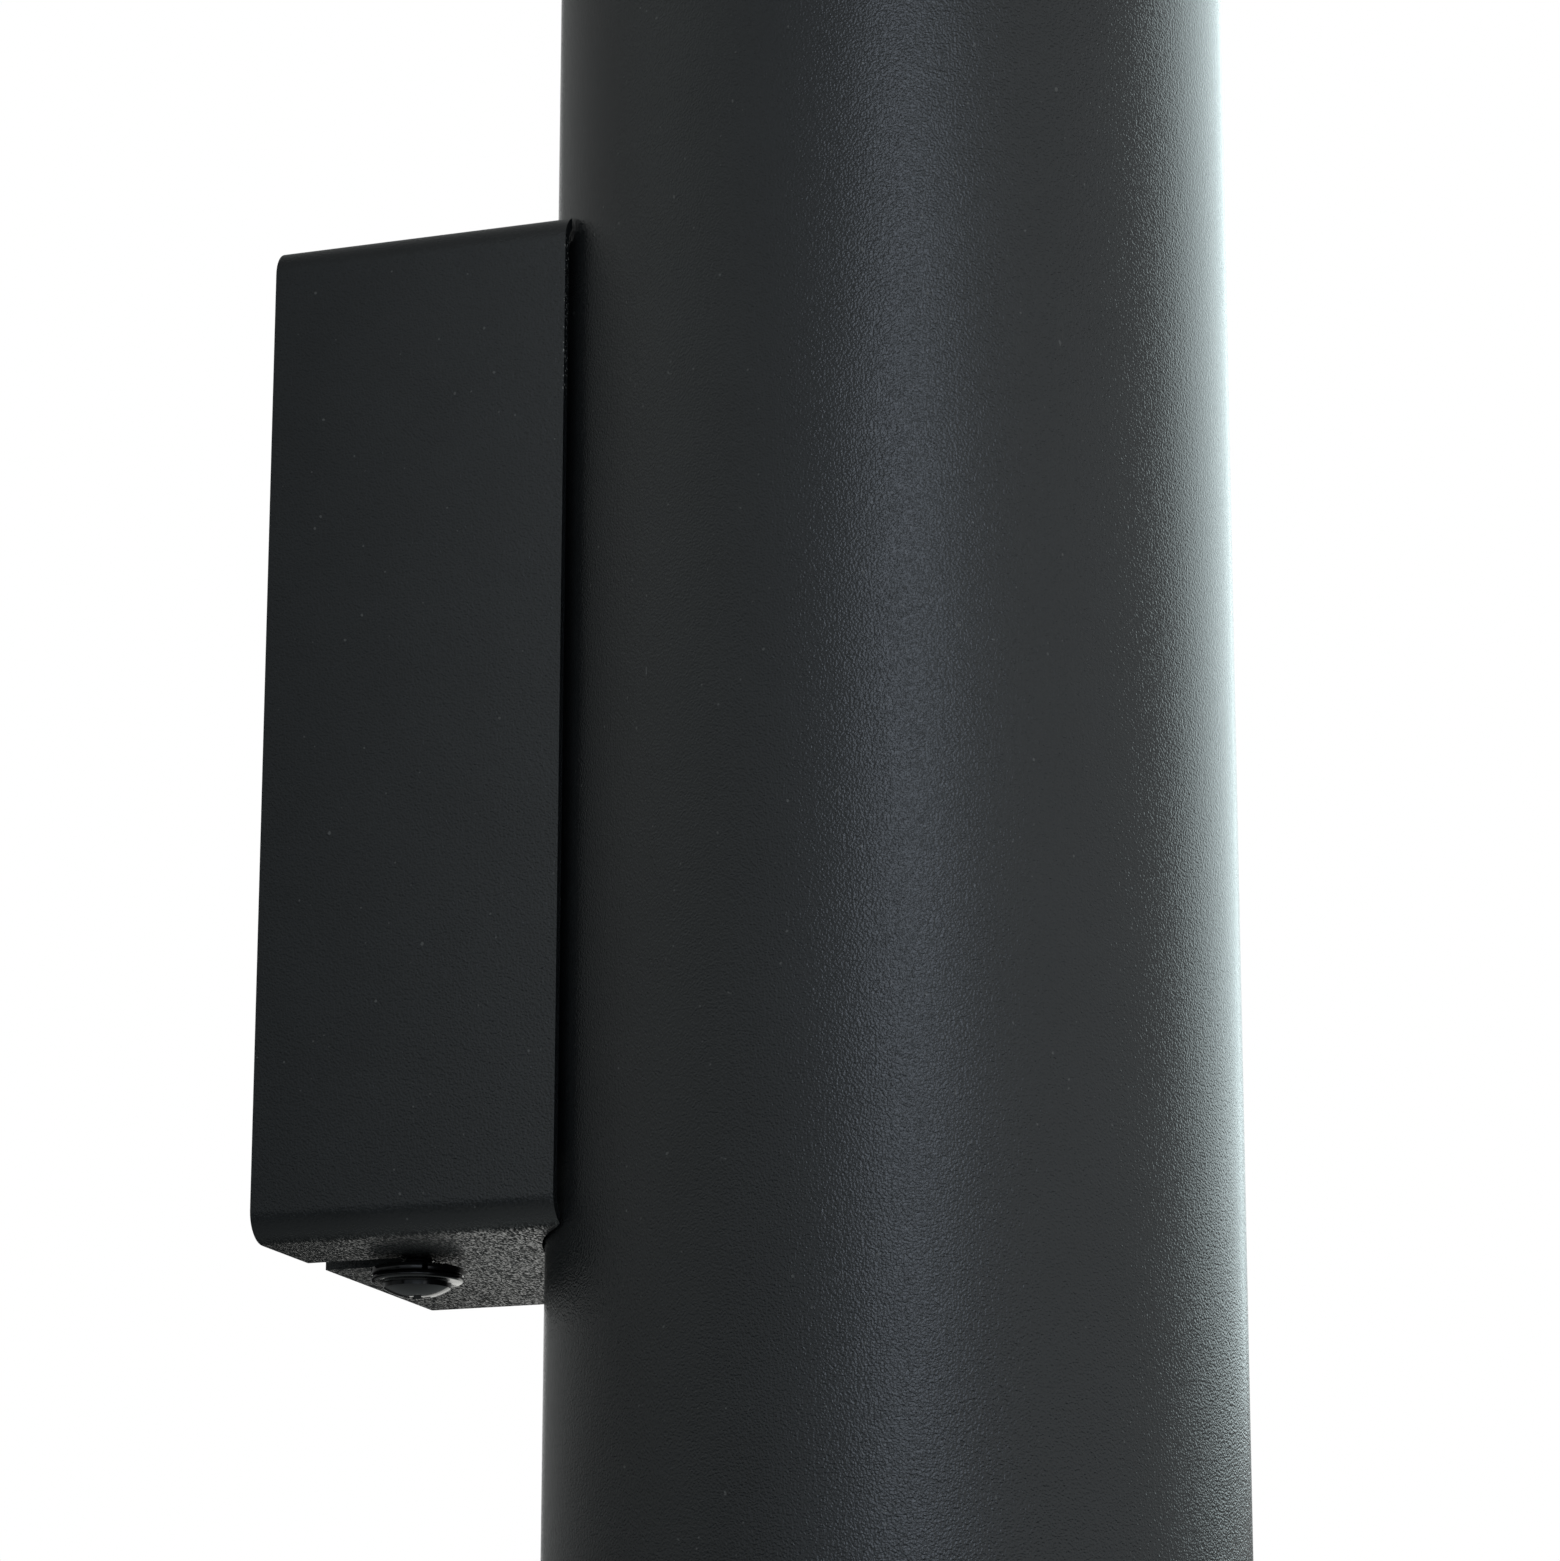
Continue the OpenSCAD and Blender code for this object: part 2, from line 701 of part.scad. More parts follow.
// Spring contacts at the bottom of the pins' channels
module contacts(side) {
    width = pin_head_d - 2 * contact_trim;
    color(brass) at_lamp_end(side) translate([0, 0, holder_front - channel_depth + seat])
        both_pins() rotate_extrude(angle = lock_angle)
            translate([pin_r - width / 2, 0]) square([width, contact_t - seat]);
}

module upper_contacts() { contacts(1); }
module lower_contacts() { contacts(-1); }

module holder_screws() {
    head_z = holder_front - holder_sink + seat;
    shank = head_z - carrier_z + carrier_t + thread_end;
    color(zinc) both_ends() at_tube() holder_bolts() translate([0, 0, head_z])
        slotted_screw(holder_bolt_r, shank, holder_head_r, holder_head_h);
}

// Glare ring: a band that lines the tube and a cone that closes the space round the lamp
module glare_ring(side) {
    mouth = tube_l / 2 - glare_inset;
    throat = lamp_face_z + glare_clear;
    color(coat) at_end(side) at_tube() rotate_extrude($fn = large_fn) polygon([
        [glare_r, mouth], [glare_r, mouth - glare_band], [glare_r - glare_t, mouth - glare_band],
        [glare_r - glare_t, mouth - 2 * glare_t], [glare_opening, throat - glare_t],
        [glare_opening, throat], [glare_r - glare_t, mouth]]);
}

module upper_glare_ring() { glare_ring(1); }
module lower_glare_ring() { glare_ring(-1); }

// Split lock washer, caught between the screw's flange and the box
module lock_washer(side) {
    color(blackened) at_end(side) at_screw() translate([0, 0, box_h / 2 + screw_slack]) difference() {
        cylinder(r = washer_d / 2, h = washer_t);
        translate([0, 0, -over]) cylinder(r = washer_bore, h = washer_t + 2 * over);
        rotate([0, 0, 180 + lock_angle]) translate([0, -washer_split / 2, -over])
            cube([washer_d, washer_split, washer_t + 2 * over]);
    }
}

// Cross-recessed screw with a rounded flange and a low dome
module bracket_screw(side) {
    flange_z = box_h / 2 + screw_slack + washer_t + seat;
    dome = head_h - head_rim;
    dome_r = (pow(head_d / 2, 2) + dome * dome) / (2 * dome);
    tip_z = ear_z - bracket_t - clinch_h - thread_end;
    color(blackened) at_end(side) at_screw() difference() {
        union() {
            translate([0, 0, tip_z]) cylinder(r = thread_r, h = flange_z - tip_z + seat);
            translate([0, 0, flange_z]) rotate_extrude() {
                square([washer_d / 2 - flange_t / 2, flange_t]);
                translate([washer_d / 2 - flange_t / 2, flange_t / 2]) intersection() {
                    circle(flange_t / 2, $fn = small_fn);
                    translate([0, -flange_t]) square(2 * flange_t);
                }
            }
            translate([0, 0, flange_z]) intersection() {
                cylinder(r = head_d / 2, h = flange_t + head_h);
                translate([0, 0, flange_t + head_h - dome_r]) sphere(dome_r, $fn = large_fn);
            }
        }
        for (a = [0, 90]) rotate([0, 0, a + lock_angle])
            translate([-recess_w / 2, -recess_l / 2, flange_z + flange_t + head_h - recess_depth])
                cube([recess_w, recess_l, recess_depth + over]);
    }
}

module top_washer() { lock_washer(1); }
module top_screw() { bracket_screw(1); }
module bottom_washer() { lock_washer(-1); }
module bottom_screw() { bracket_screw(-1); }

// Reflector lamp, built upwards from its base face and set in its holder
module in_holder(side) {
    at_lamp_end(side) translate([0, 0, lamp_face_z - lamp_l]) children();
}

module bulb_base(side) {
    color(plastic) in_holder(side) cylinder(r = base_r, h = base_h - seat);
}

module bulb_shell(side) {
    rim_r = lamp_d / 2;
    flare = lamp_l - shell_rim;
    color(plastic) in_holder(side) rotate_extrude($fn = large_fn) polygon([
        [0, base_h], [base_r + shell_wall, base_h], [rim_r, flare], [rim_r, lamp_l],
        [rim_r - shell_wall, lamp_l], [rim_r - shell_wall, lamp_l - lens_t - lens_step],
        [rim_r - 2 * shell_wall, lamp_l - lens_t - lens_step], [rim_r - 2 * shell_wall, flare],
        [base_r - shell_wall, base_h + 2 * shell_wall], [0, base_h + 2 * shell_wall]]);
}

module bulb_lens(side) {
    color([0.95, 0.95, 0.92]) in_holder(side) translate([0, 0, lamp_l - lens_t - lens_step + seat])
        cylinder(r = lamp_d / 2 - shell_wall - seat, h = lens_t, $fn = large_fn);
}

module bulb_pins(side) {
    neck = lip_t + 2 * lamp_gap;
    color(zinc) in_holder(side) both_pins() translate([pin_r, 0, 0]) {
        translate([0, 0, -neck - seat]) cylinder(r = pin_neck_d / 2, h = neck);
        translate([0, 0, -neck - pin_head_h]) cylinder(r = pin_head_d / 2, h = pin_head_h - seat);
    }
}

module upper_bulb_base() { bulb_base(1); }
module upper_bulb_shell() { bulb_shell(1); }
module upper_bulb_lens() { bulb_lens(1); }
module upper_bulb_pins() { bulb_pins(1); }
module lower_bulb_base() { bulb_base(-1); }
module lower_bulb_shell() { bulb_shell(-1); }
module lower_bulb_lens() { bulb_lens(-1); }
module lower_bulb_pins() { bulb_pins(-1); }

wall_bracket();
clinch_nuts();
cable_grommet();
arm_box();
lamp_tube();
saddle_plate();
saddle_screws();
saddle_nuts();
lamp_carrier();
cable_pipe();
pipe_nuts();
pipe_washer();
terminal_block();
terminal_sleeves();
terminal_screws();
block_screws();
earth_screw();
earth_tag();
earth_lead();
live_leads();
neutral_leads();
upper_holder();
lower_holder();
upper_contacts();
lower_contacts();
holder_screws();
upper_glare_ring();
lower_glare_ring();
top_washer();
top_screw();
bottom_washer();
bottom_screw();
upper_bulb_base();
upper_bulb_shell();
upper_bulb_lens();
upper_bulb_pins();
lower_bulb_base();
lower_bulb_shell();
lower_bulb_lens();
lower_bulb_pins();
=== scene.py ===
"""An up and down wall lamp: a coated tube on a folded arm box, with its wiring and two reflector lamps.

The frame is fixed: the wall is the plane y = 0, the lamp stands out towards -Y, and +Z is up. All lengths
are in metres, and MM turns a millimetre into one. Materials come first, then the tools that shape meshes,
then a class for each sub-assembly, and the camera and the studio last.
"""
import json
import logging
import math
from dataclasses import dataclass, field
from enum import Enum
from functools import lru_cache
from typing import Any, Iterable, Optional, Sequence

import bmesh
import bpy
from mathutils import Matrix, Vector

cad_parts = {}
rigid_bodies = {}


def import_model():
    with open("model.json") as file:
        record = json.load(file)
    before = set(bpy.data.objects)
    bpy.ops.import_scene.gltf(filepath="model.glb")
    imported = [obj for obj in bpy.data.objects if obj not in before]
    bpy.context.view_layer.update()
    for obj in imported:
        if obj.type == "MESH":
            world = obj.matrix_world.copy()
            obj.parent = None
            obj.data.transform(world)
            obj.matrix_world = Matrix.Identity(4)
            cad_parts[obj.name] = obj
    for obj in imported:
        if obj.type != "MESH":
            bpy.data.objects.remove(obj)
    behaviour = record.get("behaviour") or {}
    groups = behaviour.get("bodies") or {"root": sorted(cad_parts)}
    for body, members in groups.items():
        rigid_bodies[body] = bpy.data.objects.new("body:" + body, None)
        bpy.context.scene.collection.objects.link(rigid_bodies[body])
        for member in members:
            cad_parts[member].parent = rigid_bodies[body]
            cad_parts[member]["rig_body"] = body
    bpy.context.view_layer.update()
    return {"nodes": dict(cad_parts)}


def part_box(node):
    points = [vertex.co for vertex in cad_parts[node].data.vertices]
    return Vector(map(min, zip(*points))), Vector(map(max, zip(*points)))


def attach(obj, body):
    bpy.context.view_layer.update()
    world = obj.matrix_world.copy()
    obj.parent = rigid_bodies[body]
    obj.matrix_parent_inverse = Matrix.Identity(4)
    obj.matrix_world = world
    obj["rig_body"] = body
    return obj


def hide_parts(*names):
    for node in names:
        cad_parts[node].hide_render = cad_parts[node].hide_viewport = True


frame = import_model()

MM = 0.001
TOUCH = 1e-6
FLAT = math.radians(0.4)
FULL_TURN = 2 * math.pi
NOISE_LOW = 0.3
NOISE_HIGH = 0.7

Mesh = bmesh.types.BMesh
Socket = bpy.types.NodeSocket
Rgb = tuple[float, float, float]

log = logging.getLogger("wall_lamp")


class Facing(Enum):
    """The way a piece drawn along +Z points once it is placed."""

    UP = (0.0, "X")
    DOWN = (math.pi, "Y")
    ROOM = (math.pi / 2, "X")

    def turn(self) -> Matrix:
        """The rotation that brings +Z to this way."""
        angle, axis = self.value
        return Matrix.Rotation(angle, 4, axis)


class Plane(Enum):
    """The two axes that a flat outline is drawn along."""

    UPRIGHT = "XZ"
    LEVEL = "XY"


class Fusion(Enum):
    """What happens where two closed meshes overlap."""

    CUT = "DIFFERENCE"
    FUSE = "UNION"


class End(Enum):
    """The upper or the lower end of the lamp."""

    UPPER = 1
    LOWER = -1

    @property
    def facing(self) -> Facing:
        """The way out of the tube at this end."""
        return Facing.UP if self is End.UPPER else Facing.DOWN

    @property
    def word(self) -> str:
        """The word that the lamp end's nodes start with."""
        return "upper" if self is End.UPPER else "lower"

    @property
    def side(self) -> str:
        """The word that the arm box's screws and washers start with."""
        return "top" if self is End.UPPER else "bottom"


class Nodes:
    """A node tree, with short ways to add what the finishes and the surroundings need."""

    def __init__(self, tree: bpy.types.NodeTree, coordinates: str) -> None:
        """Takes a tree over.

        Args:
            tree: the tree that gets the nodes.
            coordinates: the kind of coordinates that its patterns follow.
        """
        self.tree = tree
        self.place = self.add("ShaderNodeTexCoord").outputs[coordinates]

    def add(self, kind: str, inputs: Optional[dict[Any, Any]] = None, **settings: Any) -> bpy.types.Node:
        """Adds a node.

        Args:
            kind: the node's type name.
            inputs: a value or a socket for each input, by name or number.
            settings: the node's own settings.

        Returns:
            The new node.
        """
        node = self.tree.nodes.new(kind)
        for key, value in settings.items():
            setattr(node, key, value)
        for key, value in (inputs or {}).items():
            if isinstance(value, Socket):
                self.tree.links.new(value, node.inputs[key])
            else:
                node.inputs[key].default_value = value
        return node

    def noise(self, grain: float, detail: float = 2.0, roughness: float = 0.5,
              stretch: Optional[Sequence[float]] = None) -> Socket:
        """Makes a noise pattern whose blobs are about one grain wide.

        Args:
            grain: the width of a blob in metres.
            detail: how many finer layers it has.
            roughness: how strong they are.
            stretch: how many times the blobs repeat along X, Y and Z, where they aren't round.

        Returns:
            The pattern's value, around 0.5.
        """
        place = self.place
        if stretch is not None:
            place = self.add("ShaderNodeMapping", {"Vector": place, "Scale": stretch}).outputs[0]
        inputs = {"Vector": place, "Scale": 1 / grain, "Detail": detail, "Roughness": roughness}
        return self.add("ShaderNodeTexNoise", inputs).outputs[0]

    def level(self, value: Socket, low: float, high: float, to_low: float = 0.0,
              to_high: float = 1.0) -> Socket:
        """Maps a value from one range to another and holds it there.

        Args:
            value: what is mapped.
            low: where the first range starts.
            high: where the first range ends.
            to_low: what its start becomes.
            to_high: what its end becomes.

        Returns:
            The mapped value.
        """
        inputs = {"Value": value, "From Min": low, "From Max": high, "To Min": to_low, "To Max": to_high}
        return self.add("ShaderNodeMapRange", inputs).outputs[0]

    def spread(self, noise: Socket, to_low: float = 0.0, to_high: float = 1.0) -> Socket:
        """Stretches the middle of a noise pattern over a range."""
        return self.level(noise, NOISE_LOW, NOISE_HIGH, to_low, to_high)

    def maths(self, operation: str, first: Any, second: Any = 0.0) -> Socket:
        """One arithmetic step on two values or sockets."""
        return self.add("ShaderNodeMath", {0: first, 1: second}, operation=operation).outputs[0]

    def blend(self, share: Any, first: Any, second: Any) -> Socket:
        """Mixes two colours or colour sockets by a share from 0 to 1."""
        return self.add("ShaderNodeMix", {0: share, 6: first, 7: second}, data_type="RGBA").outputs[2]

    def along(self, axis: str, place: Optional[Socket] = None) -> Socket:
        """One length of a vector, or of the pattern's own place where none is given."""
        return self.add("ShaderNodeSeparateXYZ", {0: place or self.place}).outputs[axis]


class Board(Nodes):
    """The node tree of one material, which ends in a Principled shader."""

    def __init__(self, name: str) -> None:
        """Starts a material.

        Args:
            name: the material's name.
        """
        self.material = bpy.data.materials.new(name)
        self.material.use_nodes = True
        super().__init__(self.material.node_tree, "Object")
        self.shader = self.tree.nodes["Principled BSDF"]

    def feed(self, name: str, socket: Socket) -> None:
        """Links a socket to one of the shader's inputs."""
        self.tree.links.new(socket, self.shader.inputs[name])

    def colour(self, socket: Socket) -> None:
        """Gives the shader its colour."""
        self.feed("Base Color", socket)

    def gloss(self, socket: Socket) -> None:
        """Gives the shader its roughness."""
        self.feed("Roughness", socket)

    def relief(self, height: Socket, depth: float) -> None:
        """Lets a pattern stand out of the surface by a depth in metres."""
        bump = self.add("ShaderNodeBump", {"Height": height, "Distance": depth, "Strength": 1.0})
        self.feed("Normal", bump.outputs[0])

    def fix(self, **values: Any) -> None:
        """Sets shader inputs that are the same all over, named with underscores for blanks."""
        for key, value in values.items():
            self.shader.inputs[key.replace("_", " ")].default_value = value


def paint(rgb: Rgb, gain: float = 1.0) -> tuple[float, float, float, float]:
    """A colour with its alpha, brightened or darkened by a gain."""
    return (rgb[0] * gain, rgb[1] * gain, rgb[2] * gain, 1.0)


@dataclass(frozen=True)
class Finish:
    """A finish: its name, the record's slot that it stands for, its colour and its roughness.

    The colour varies between two gains, dark and light, and the roughness goes a little lower and higher.
    """

    name: str
    slot: str
    rgb: Rgb
    dark: float = 0.95
    light: float = 1.02
    roughness: float = 0.5
    smoother: float = 0.06
    rougher: float = 0.06

    def shade(self, board: Board) -> None:
        """Builds the finish's nodes on a board.

        Args:
            board: the material that is being made.
        """
        raise NotImplementedError

    def clouded(self, board: Board, cloud: Socket) -> Socket:
        """The finish's colour, made a little darker and lighter by a pattern."""
        return board.blend(board.spread(cloud), paint(self.rgb, self.dark), paint(self.rgb, self.light))

    def uneven(self, board: Board, pattern: Socket) -> Socket:
        """The finish's roughness, made a little lower and higher by a pattern."""
        return board.spread(pattern, self.roughness - self.smoother, self.roughness + self.rougher)


@dataclass(frozen=True)
class WornEdge:
    """Pale flecks along an edge at one depth, from one height to another: chipped coat and painted
    highlights.
    """

    depth: float
    reach: float
    low: float
    high: float
    fade: float = 3 * MM
    chip_grain: float = 0.34 * MM
    chip_from: float = 0.62
    chip_full: float = 0.68
    bare: Rgb = (0.34, 0.34, 0.32)

    def chip(self, board: Board, base: Socket) -> Socket:
        """Adds small bright flecks along the edge: chips and painted highlights.

        Args:
            board: the material that is being made.
            base: the coat's colour so far.

        Returns:
            The colour with its chips and painted highlights.
        """
        away = board.maths("ABSOLUTE", board.maths("SUBTRACT", board.along("Y"), self.depth))
        near = board.level(away, self.reach, 0.0)
        above = board.level(board.along("Z"), self.low, self.low + self.fade)
        below = board.level(board.along("Z"), self.high, self.high - self.fade)
        flecks = board.level(board.noise(self.chip_grain, 1.0), self.chip_from, self.chip_full)
        stretch = board.maths("MULTIPLY", above, below)
        share = board.maths("MULTIPLY", board.maths("MULTIPLY", near, flecks), stretch)
        # one pale colour for bare chips and painted highlights alike
        return board.blend(share, base, paint(self.bare))


@dataclass(frozen=True)
class PowderCoat(Finish):
    """Fine-grained powder coat: an even dark colour over a close, pebbled skin.

    Underneath, where the spray hardly reaches, it dries rougher in sandy patches. Where a wall shade depth
    is given, shade is painted into the coat's sheen: it falls off towards the wall over that depth, more so
    underneath.
    """

    dark: float = 0.93
    light: float = 1.07
    roughness: float = 0.14
    smoother: float = 0.05
    rougher: float = 0.05
    grain: float = 0.27 * MM
    grain_low: float = 0.25
    grain_high: float = 0.75
    pebble: float = 0.085 * MM
    cloud: float = 9 * MM
    specks: float = 0.35
    speck_grain: float = 0.7 * MM
    speck_from: float = 0.835
    speck_full: float = 0.875
    speck_rgb: Rgb = (0.2, 0.2, 0.19)
    under_from: float = -0.75
    under_full: float = -0.98
    sand_grain: float = 0.21 * MM
    sand_stretch: tuple[float, float, float] = (0.3, 1.0, 1.0)
    sand_from: float = 0.41
    sand_full: float = 0.56
    sand_least: float = 0.15
    sand_most: float = 0.75
    dull_edge: Optional[float] = None
    wall_sheen: float = 0.27
    tube_sheen: float = 0.58
    shelter: float = 0.75
    shelter_from: float = 0.1
    shelter_until: float = 0.8
    worn_edge: Optional[WornEdge] = None

    def shade(self, board: Board) -> None:
        """Builds the coat.

        Args:
            board: the material that is being made.
        """
        fine = board.noise(self.grain, 1.0)
        facing = board.along("Z", board.add("ShaderNodeTexCoord").outputs["Normal"])
        under = board.level(facing, self.under_from, self.under_full)
        self.tint(board)
        grain = board.level(fine, self.grain_low, self.grain_high, self.roughness - self.smoother,
                            self.roughness + self.rougher)
        board.gloss(board.maths("ADD", grain, self.overspray(board, under)))
        board.relief(fine, self.pebble)
        # painted shade: the box coat's sheen is lowered near the wall
        if self.dull_edge is not None:
            self.dull(board, under, self.dull_edge)

    def tint(self, board: Board) -> None:
        """Builds the coat's colour with its dust, and its edge chips and painted highlights.

        Args:
            board: the material that is being made.
        """
        tone = self.clouded(board, board.noise(self.cloud))
        dust = board.level(board.noise(self.speck_grain, 0.0), self.speck_from, self.speck_full)
        toned = board.blend(board.maths("MULTIPLY", dust, self.specks), tone, paint(self.speck_rgb))
        # pale edge flecks: chips and painted highlights
        if self.worn_edge is not None:
            toned = self.worn_edge.chip(board, toned)
        board.colour(toned)

    def overspray(self, board: Board, under: Socket) -> Socket:
        """Works out how much rougher the coat is underneath.

        Args:
            board: the material that is being made.
            under: 1 where the surface looks straight down, 0 where it doesn't.

        Returns:
            The roughness to add.
        """
        patches = board.noise(self.sand_grain, 1.0, 0.5, self.sand_stretch)
        sand = board.level(patches, self.sand_from, self.sand_full, self.sand_least, self.sand_most)
        return board.maths("MULTIPLY", under, sand)

    def dull(self, board: Board, under: Socket, depth: float) -> None:
        """Paints the wall's shade into the sheen: less of it towards the wall, and still less underneath.

        Args:
            board: the material that is being made.
            under: 1 where the surface looks straight down, 0 where it doesn't.
            depth: how far from the wall the sheen is whole.
        """
        # painted shade: sheen falls off towards the wall, and further underneath near it
        sheen = board.level(board.along("Y"), 0.0, -depth, self.wall_sheen, self.tube_sheen)
        lost = board.level(board.along("Y"), -self.shelter_from * depth, -self.shelter_until * depth,
                           self.shelter, 0.0)
        kept = board.maths("SUBTRACT", 1.0, board.maths("MULTIPLY", under, lost))
        board.feed("Specular IOR Level", board.maths("MULTIPLY", sheen, kept))


@dataclass(frozen=True)
class Plated(Finish):
    """Thinly plated metal: a soft sheen with drawing lines and cloudy patches."""

    roughness: float = 0.3
    rougher: float = 0.1
    tint: Rgb = (0.6, 0.58, 0.45)
    line: float = 0.22 * MM
    stretch: tuple[float, float, float] = (1.0, 1.0, 0.08)
    cloud: float = 6 * MM
    tint_from: float = 0.42
    tint_full: float = 0.72
    tint_most: float = 0.6
    skin: float = 0.002 * MM

    def shade(self, board: Board) -> None:
        """Builds the plating.

        Args:
            board: the material that is being made.
        """
        lines = board.noise(self.line, 2.0, 0.6, self.stretch)
        cloud = board.noise(self.cloud, 3.0, 0.6)
        tinted = board.level(cloud, self.tint_from, self.tint_full, 0.0, self.tint_most)
        board.colour(board.blend(tinted, paint(self.rgb), paint(self.tint)))
        board.gloss(self.uneven(board, lines))
        board.relief(lines, self.skin)
        board.fix(Metallic=1.0)


@dataclass(frozen=True)
class Blackened(Finish):
    """Blackened steel: a dark, oiled skin that has rubbed a little paler in places."""

    light: float = 3.0
    roughness: float = 0.13
    smoother: float = 0.05
    rougher: float = 0.07
    cloud: float = 1.6 * MM
    rubbed_from: float = 0.55
    rubbed_full: float = 0.8
    rubbed_most: float = 0.5
    grain: float = 0.12 * MM
    skin: float = 0.002 * MM
    oil: float = 1.48

    def shade(self, board: Board) -> None:
        """Builds the blackened skin.

        Args:
            board: the material that is being made.
        """
        cloud = board.noise(self.cloud, 3.0, 0.6)
        rubbed = board.level(cloud, self.rubbed_from, self.rubbed_full, 0.0, self.rubbed_most)
        board.colour(board.blend(rubbed, paint(self.rgb), paint(self.rgb, self.light)))
        board.gloss(self.uneven(board, cloud))
        board.relief(board.noise(self.grain), self.skin)
        board.fix(Metallic=0.0, IOR=self.oil)


@dataclass(frozen=True)
class Moulded(Finish):
    """Moulded plastic, rubber or a wire's sleeve: one colour with a faint skin."""

    dark: float = 0.94
    light: float = 1.04
    roughness: float = 0.42
    smoother: float = 0.04
    grain: float = 0.3 * MM
    cloud: float = 7 * MM
    skin: float = 0.004 * MM
    stripe: Optional[Rgb] = None
    stripe_scale: float = 90.0
    stripe_from: float = 0.5
    stripe_full: float = 0.56

    def shade(self, board: Board) -> None:
        """Builds the skin.

        Args:
            board: the material that is being made.
        """
        fine = board.noise(self.grain)
        tone = self.clouded(board, board.noise(self.cloud))
        if self.stripe is not None:
            inputs = {"Vector": board.place, "Scale": self.stripe_scale}
            wave = board.add("ShaderNodeTexWave", inputs, bands_direction="DIAGONAL").outputs[1]
            striped = board.level(wave, self.stripe_from, self.stripe_full)
            tone = board.blend(striped, tone, paint(self.stripe))
        board.colour(tone)
        board.gloss(self.uneven(board, fine))
        board.relief(fine, self.skin)


@dataclass(frozen=True)
class Porcelain(Finish):
    """Unglazed lampholder ceramic: off-white, dense, with a few darker grains."""

    roughness: float = 0.56
    grain: float = 0.5 * MM
    grain_from: float = 0.68
    grain_full: float = 0.76
    grain_most: float = 0.35
    grain_rgb: Rgb = (0.4, 0.36, 0.3)
    cloud: float = 8 * MM
    skin: float = 0.01 * MM
    skin_grain: float = 0.25 * MM

    def shade(self, board: Board) -> None:
        """Builds the ceramic.

        Args:
            board: the material that is being made.
        """
        cloud = board.noise(self.cloud, 3.0)
        grain = board.noise(self.grain, 1.0)
        grains = board.level(grain, self.grain_from, self.grain_full, 0.0, self.grain_most)
        board.colour(board.blend(grains, self.clouded(board, cloud), paint(self.grain_rgb)))
        board.gloss(self.uneven(board, cloud))
        board.relief(board.noise(self.skin_grain, 3.0, 0.6), self.skin)


@dataclass(frozen=True)
class Diffuser(Finish):
    """The reflector lamp's milky front: light sinks a little way into it."""

    dark: float = 0.96
    light: float = 1.0
    roughness: float = 0.4
    grain: float = 0.2 * MM
    cloud: float = 9 * MM
    skin: float = 0.003 * MM
    milk: float = 0.25
    sink: float = 1.5 * MM

    def shade(self, board: Board) -> None:
        """Builds the diffuser.

        Args:
            board: the material that is being made.
        """
        fine = board.noise(self.grain, 1.0)
        board.colour(self.clouded(board, board.noise(self.cloud, 1.0)))
        board.gloss(self.uneven(board, fine))
        board.relief(fine, self.skin)
        board.fix(Subsurface_Weight=self.milk, Subsurface_Scale=self.sink)


class Finishes:
    """The lamp's finishes, by the piece that they are for."""

    tube = PowderCoat("tube_coat", "dark_coat", (0.0175, 0.0190, 0.0198))
    # the box coat carries painted wall shade in its sheen
    box = PowderCoat("box_coat", "dark_coat", (0.0175, 0.0190, 0.0196), dull_edge=36 * MM,
                     worn_edge=WornEdge(depth=-37.1 * MM, reach=0.19 * MM, low=36 * MM, high=57.5 * MM))
    inner = PowderCoat("inner_coat", "inner_black", (0.010, 0.010, 0.0105), roughness=0.6, specks=0.2)
    black = Blackened("blackened", "blackened_steel", (0.006, 0.006, 0.0065))
    zinc = Plated("zinc", "zinc_plated", (0.56, 0.57, 0.58))
    tin = Plated("tin", "tinned", (0.66, 0.66, 0.65), roughness=0.22, tint=(0.6, 0.6, 0.6))
    brass = Plated("brass", "brass", (0.74, 0.56, 0.27), roughness=0.28, tint=(0.6, 0.42, 0.18))
    ceramic = Porcelain("ceramic", "porcelain", (0.74, 0.71, 0.64))
    white = Moulded("white_plastic", "white_plastic", (0.74, 0.74, 0.71))
    rubber = Moulded("rubber", "grommet_rubber", (0.016, 0.016, 0.016), roughness=0.62, skin=0.01 * MM)
    lens = Diffuser("diffuser", "frosted_lens", (0.80, 0.80, 0.77))
    live = Moulded("live_sleeve", "live_sleeve", (0.13, 0.045, 0.018), roughness=0.5)
    neutral = Moulded("neutral_sleeve", "neutral_sleeve", (0.03, 0.10, 0.36), roughness=0.5)
    earth = Moulded("earth_sleeve", "earth_sleeve", (0.07, 0.28, 0.03), roughness=0.5,
                    stripe=(0.75, 0.62, 0.04))


@lru_cache(maxsize=None)
def material_of(finish: Finish) -> bpy.types.Material:
    """Makes a finish's material on the first call, and hands the same one out after that.

    Args:
        finish: the finish.

    Returns:
        Its material.
    """
    board = Board(finish.name)
    finish.shade(board)
    return board.material


def loop_of(bm: Mesh, points: Iterable[Sequence[float]],
            plane: Plane = Plane.UPRIGHT) -> bmesh.types.BMFace:
    """Draws a closed outline as one face.

    Args:
        bm: the mesh that gets the face.
        points: the outline's corners, two lengths each.
        plane: the two axes that the lengths run along.

    Returns:
        The face.
    """
    verts = []
    for point in points:
        place = [0.0, 0.0, 0.0]
        for axis, length in zip(plane.value, point):
            place["XYZ".index(axis)] = length
        verts.append(bm.verts.new(place))
    return bm.faces.new(verts)


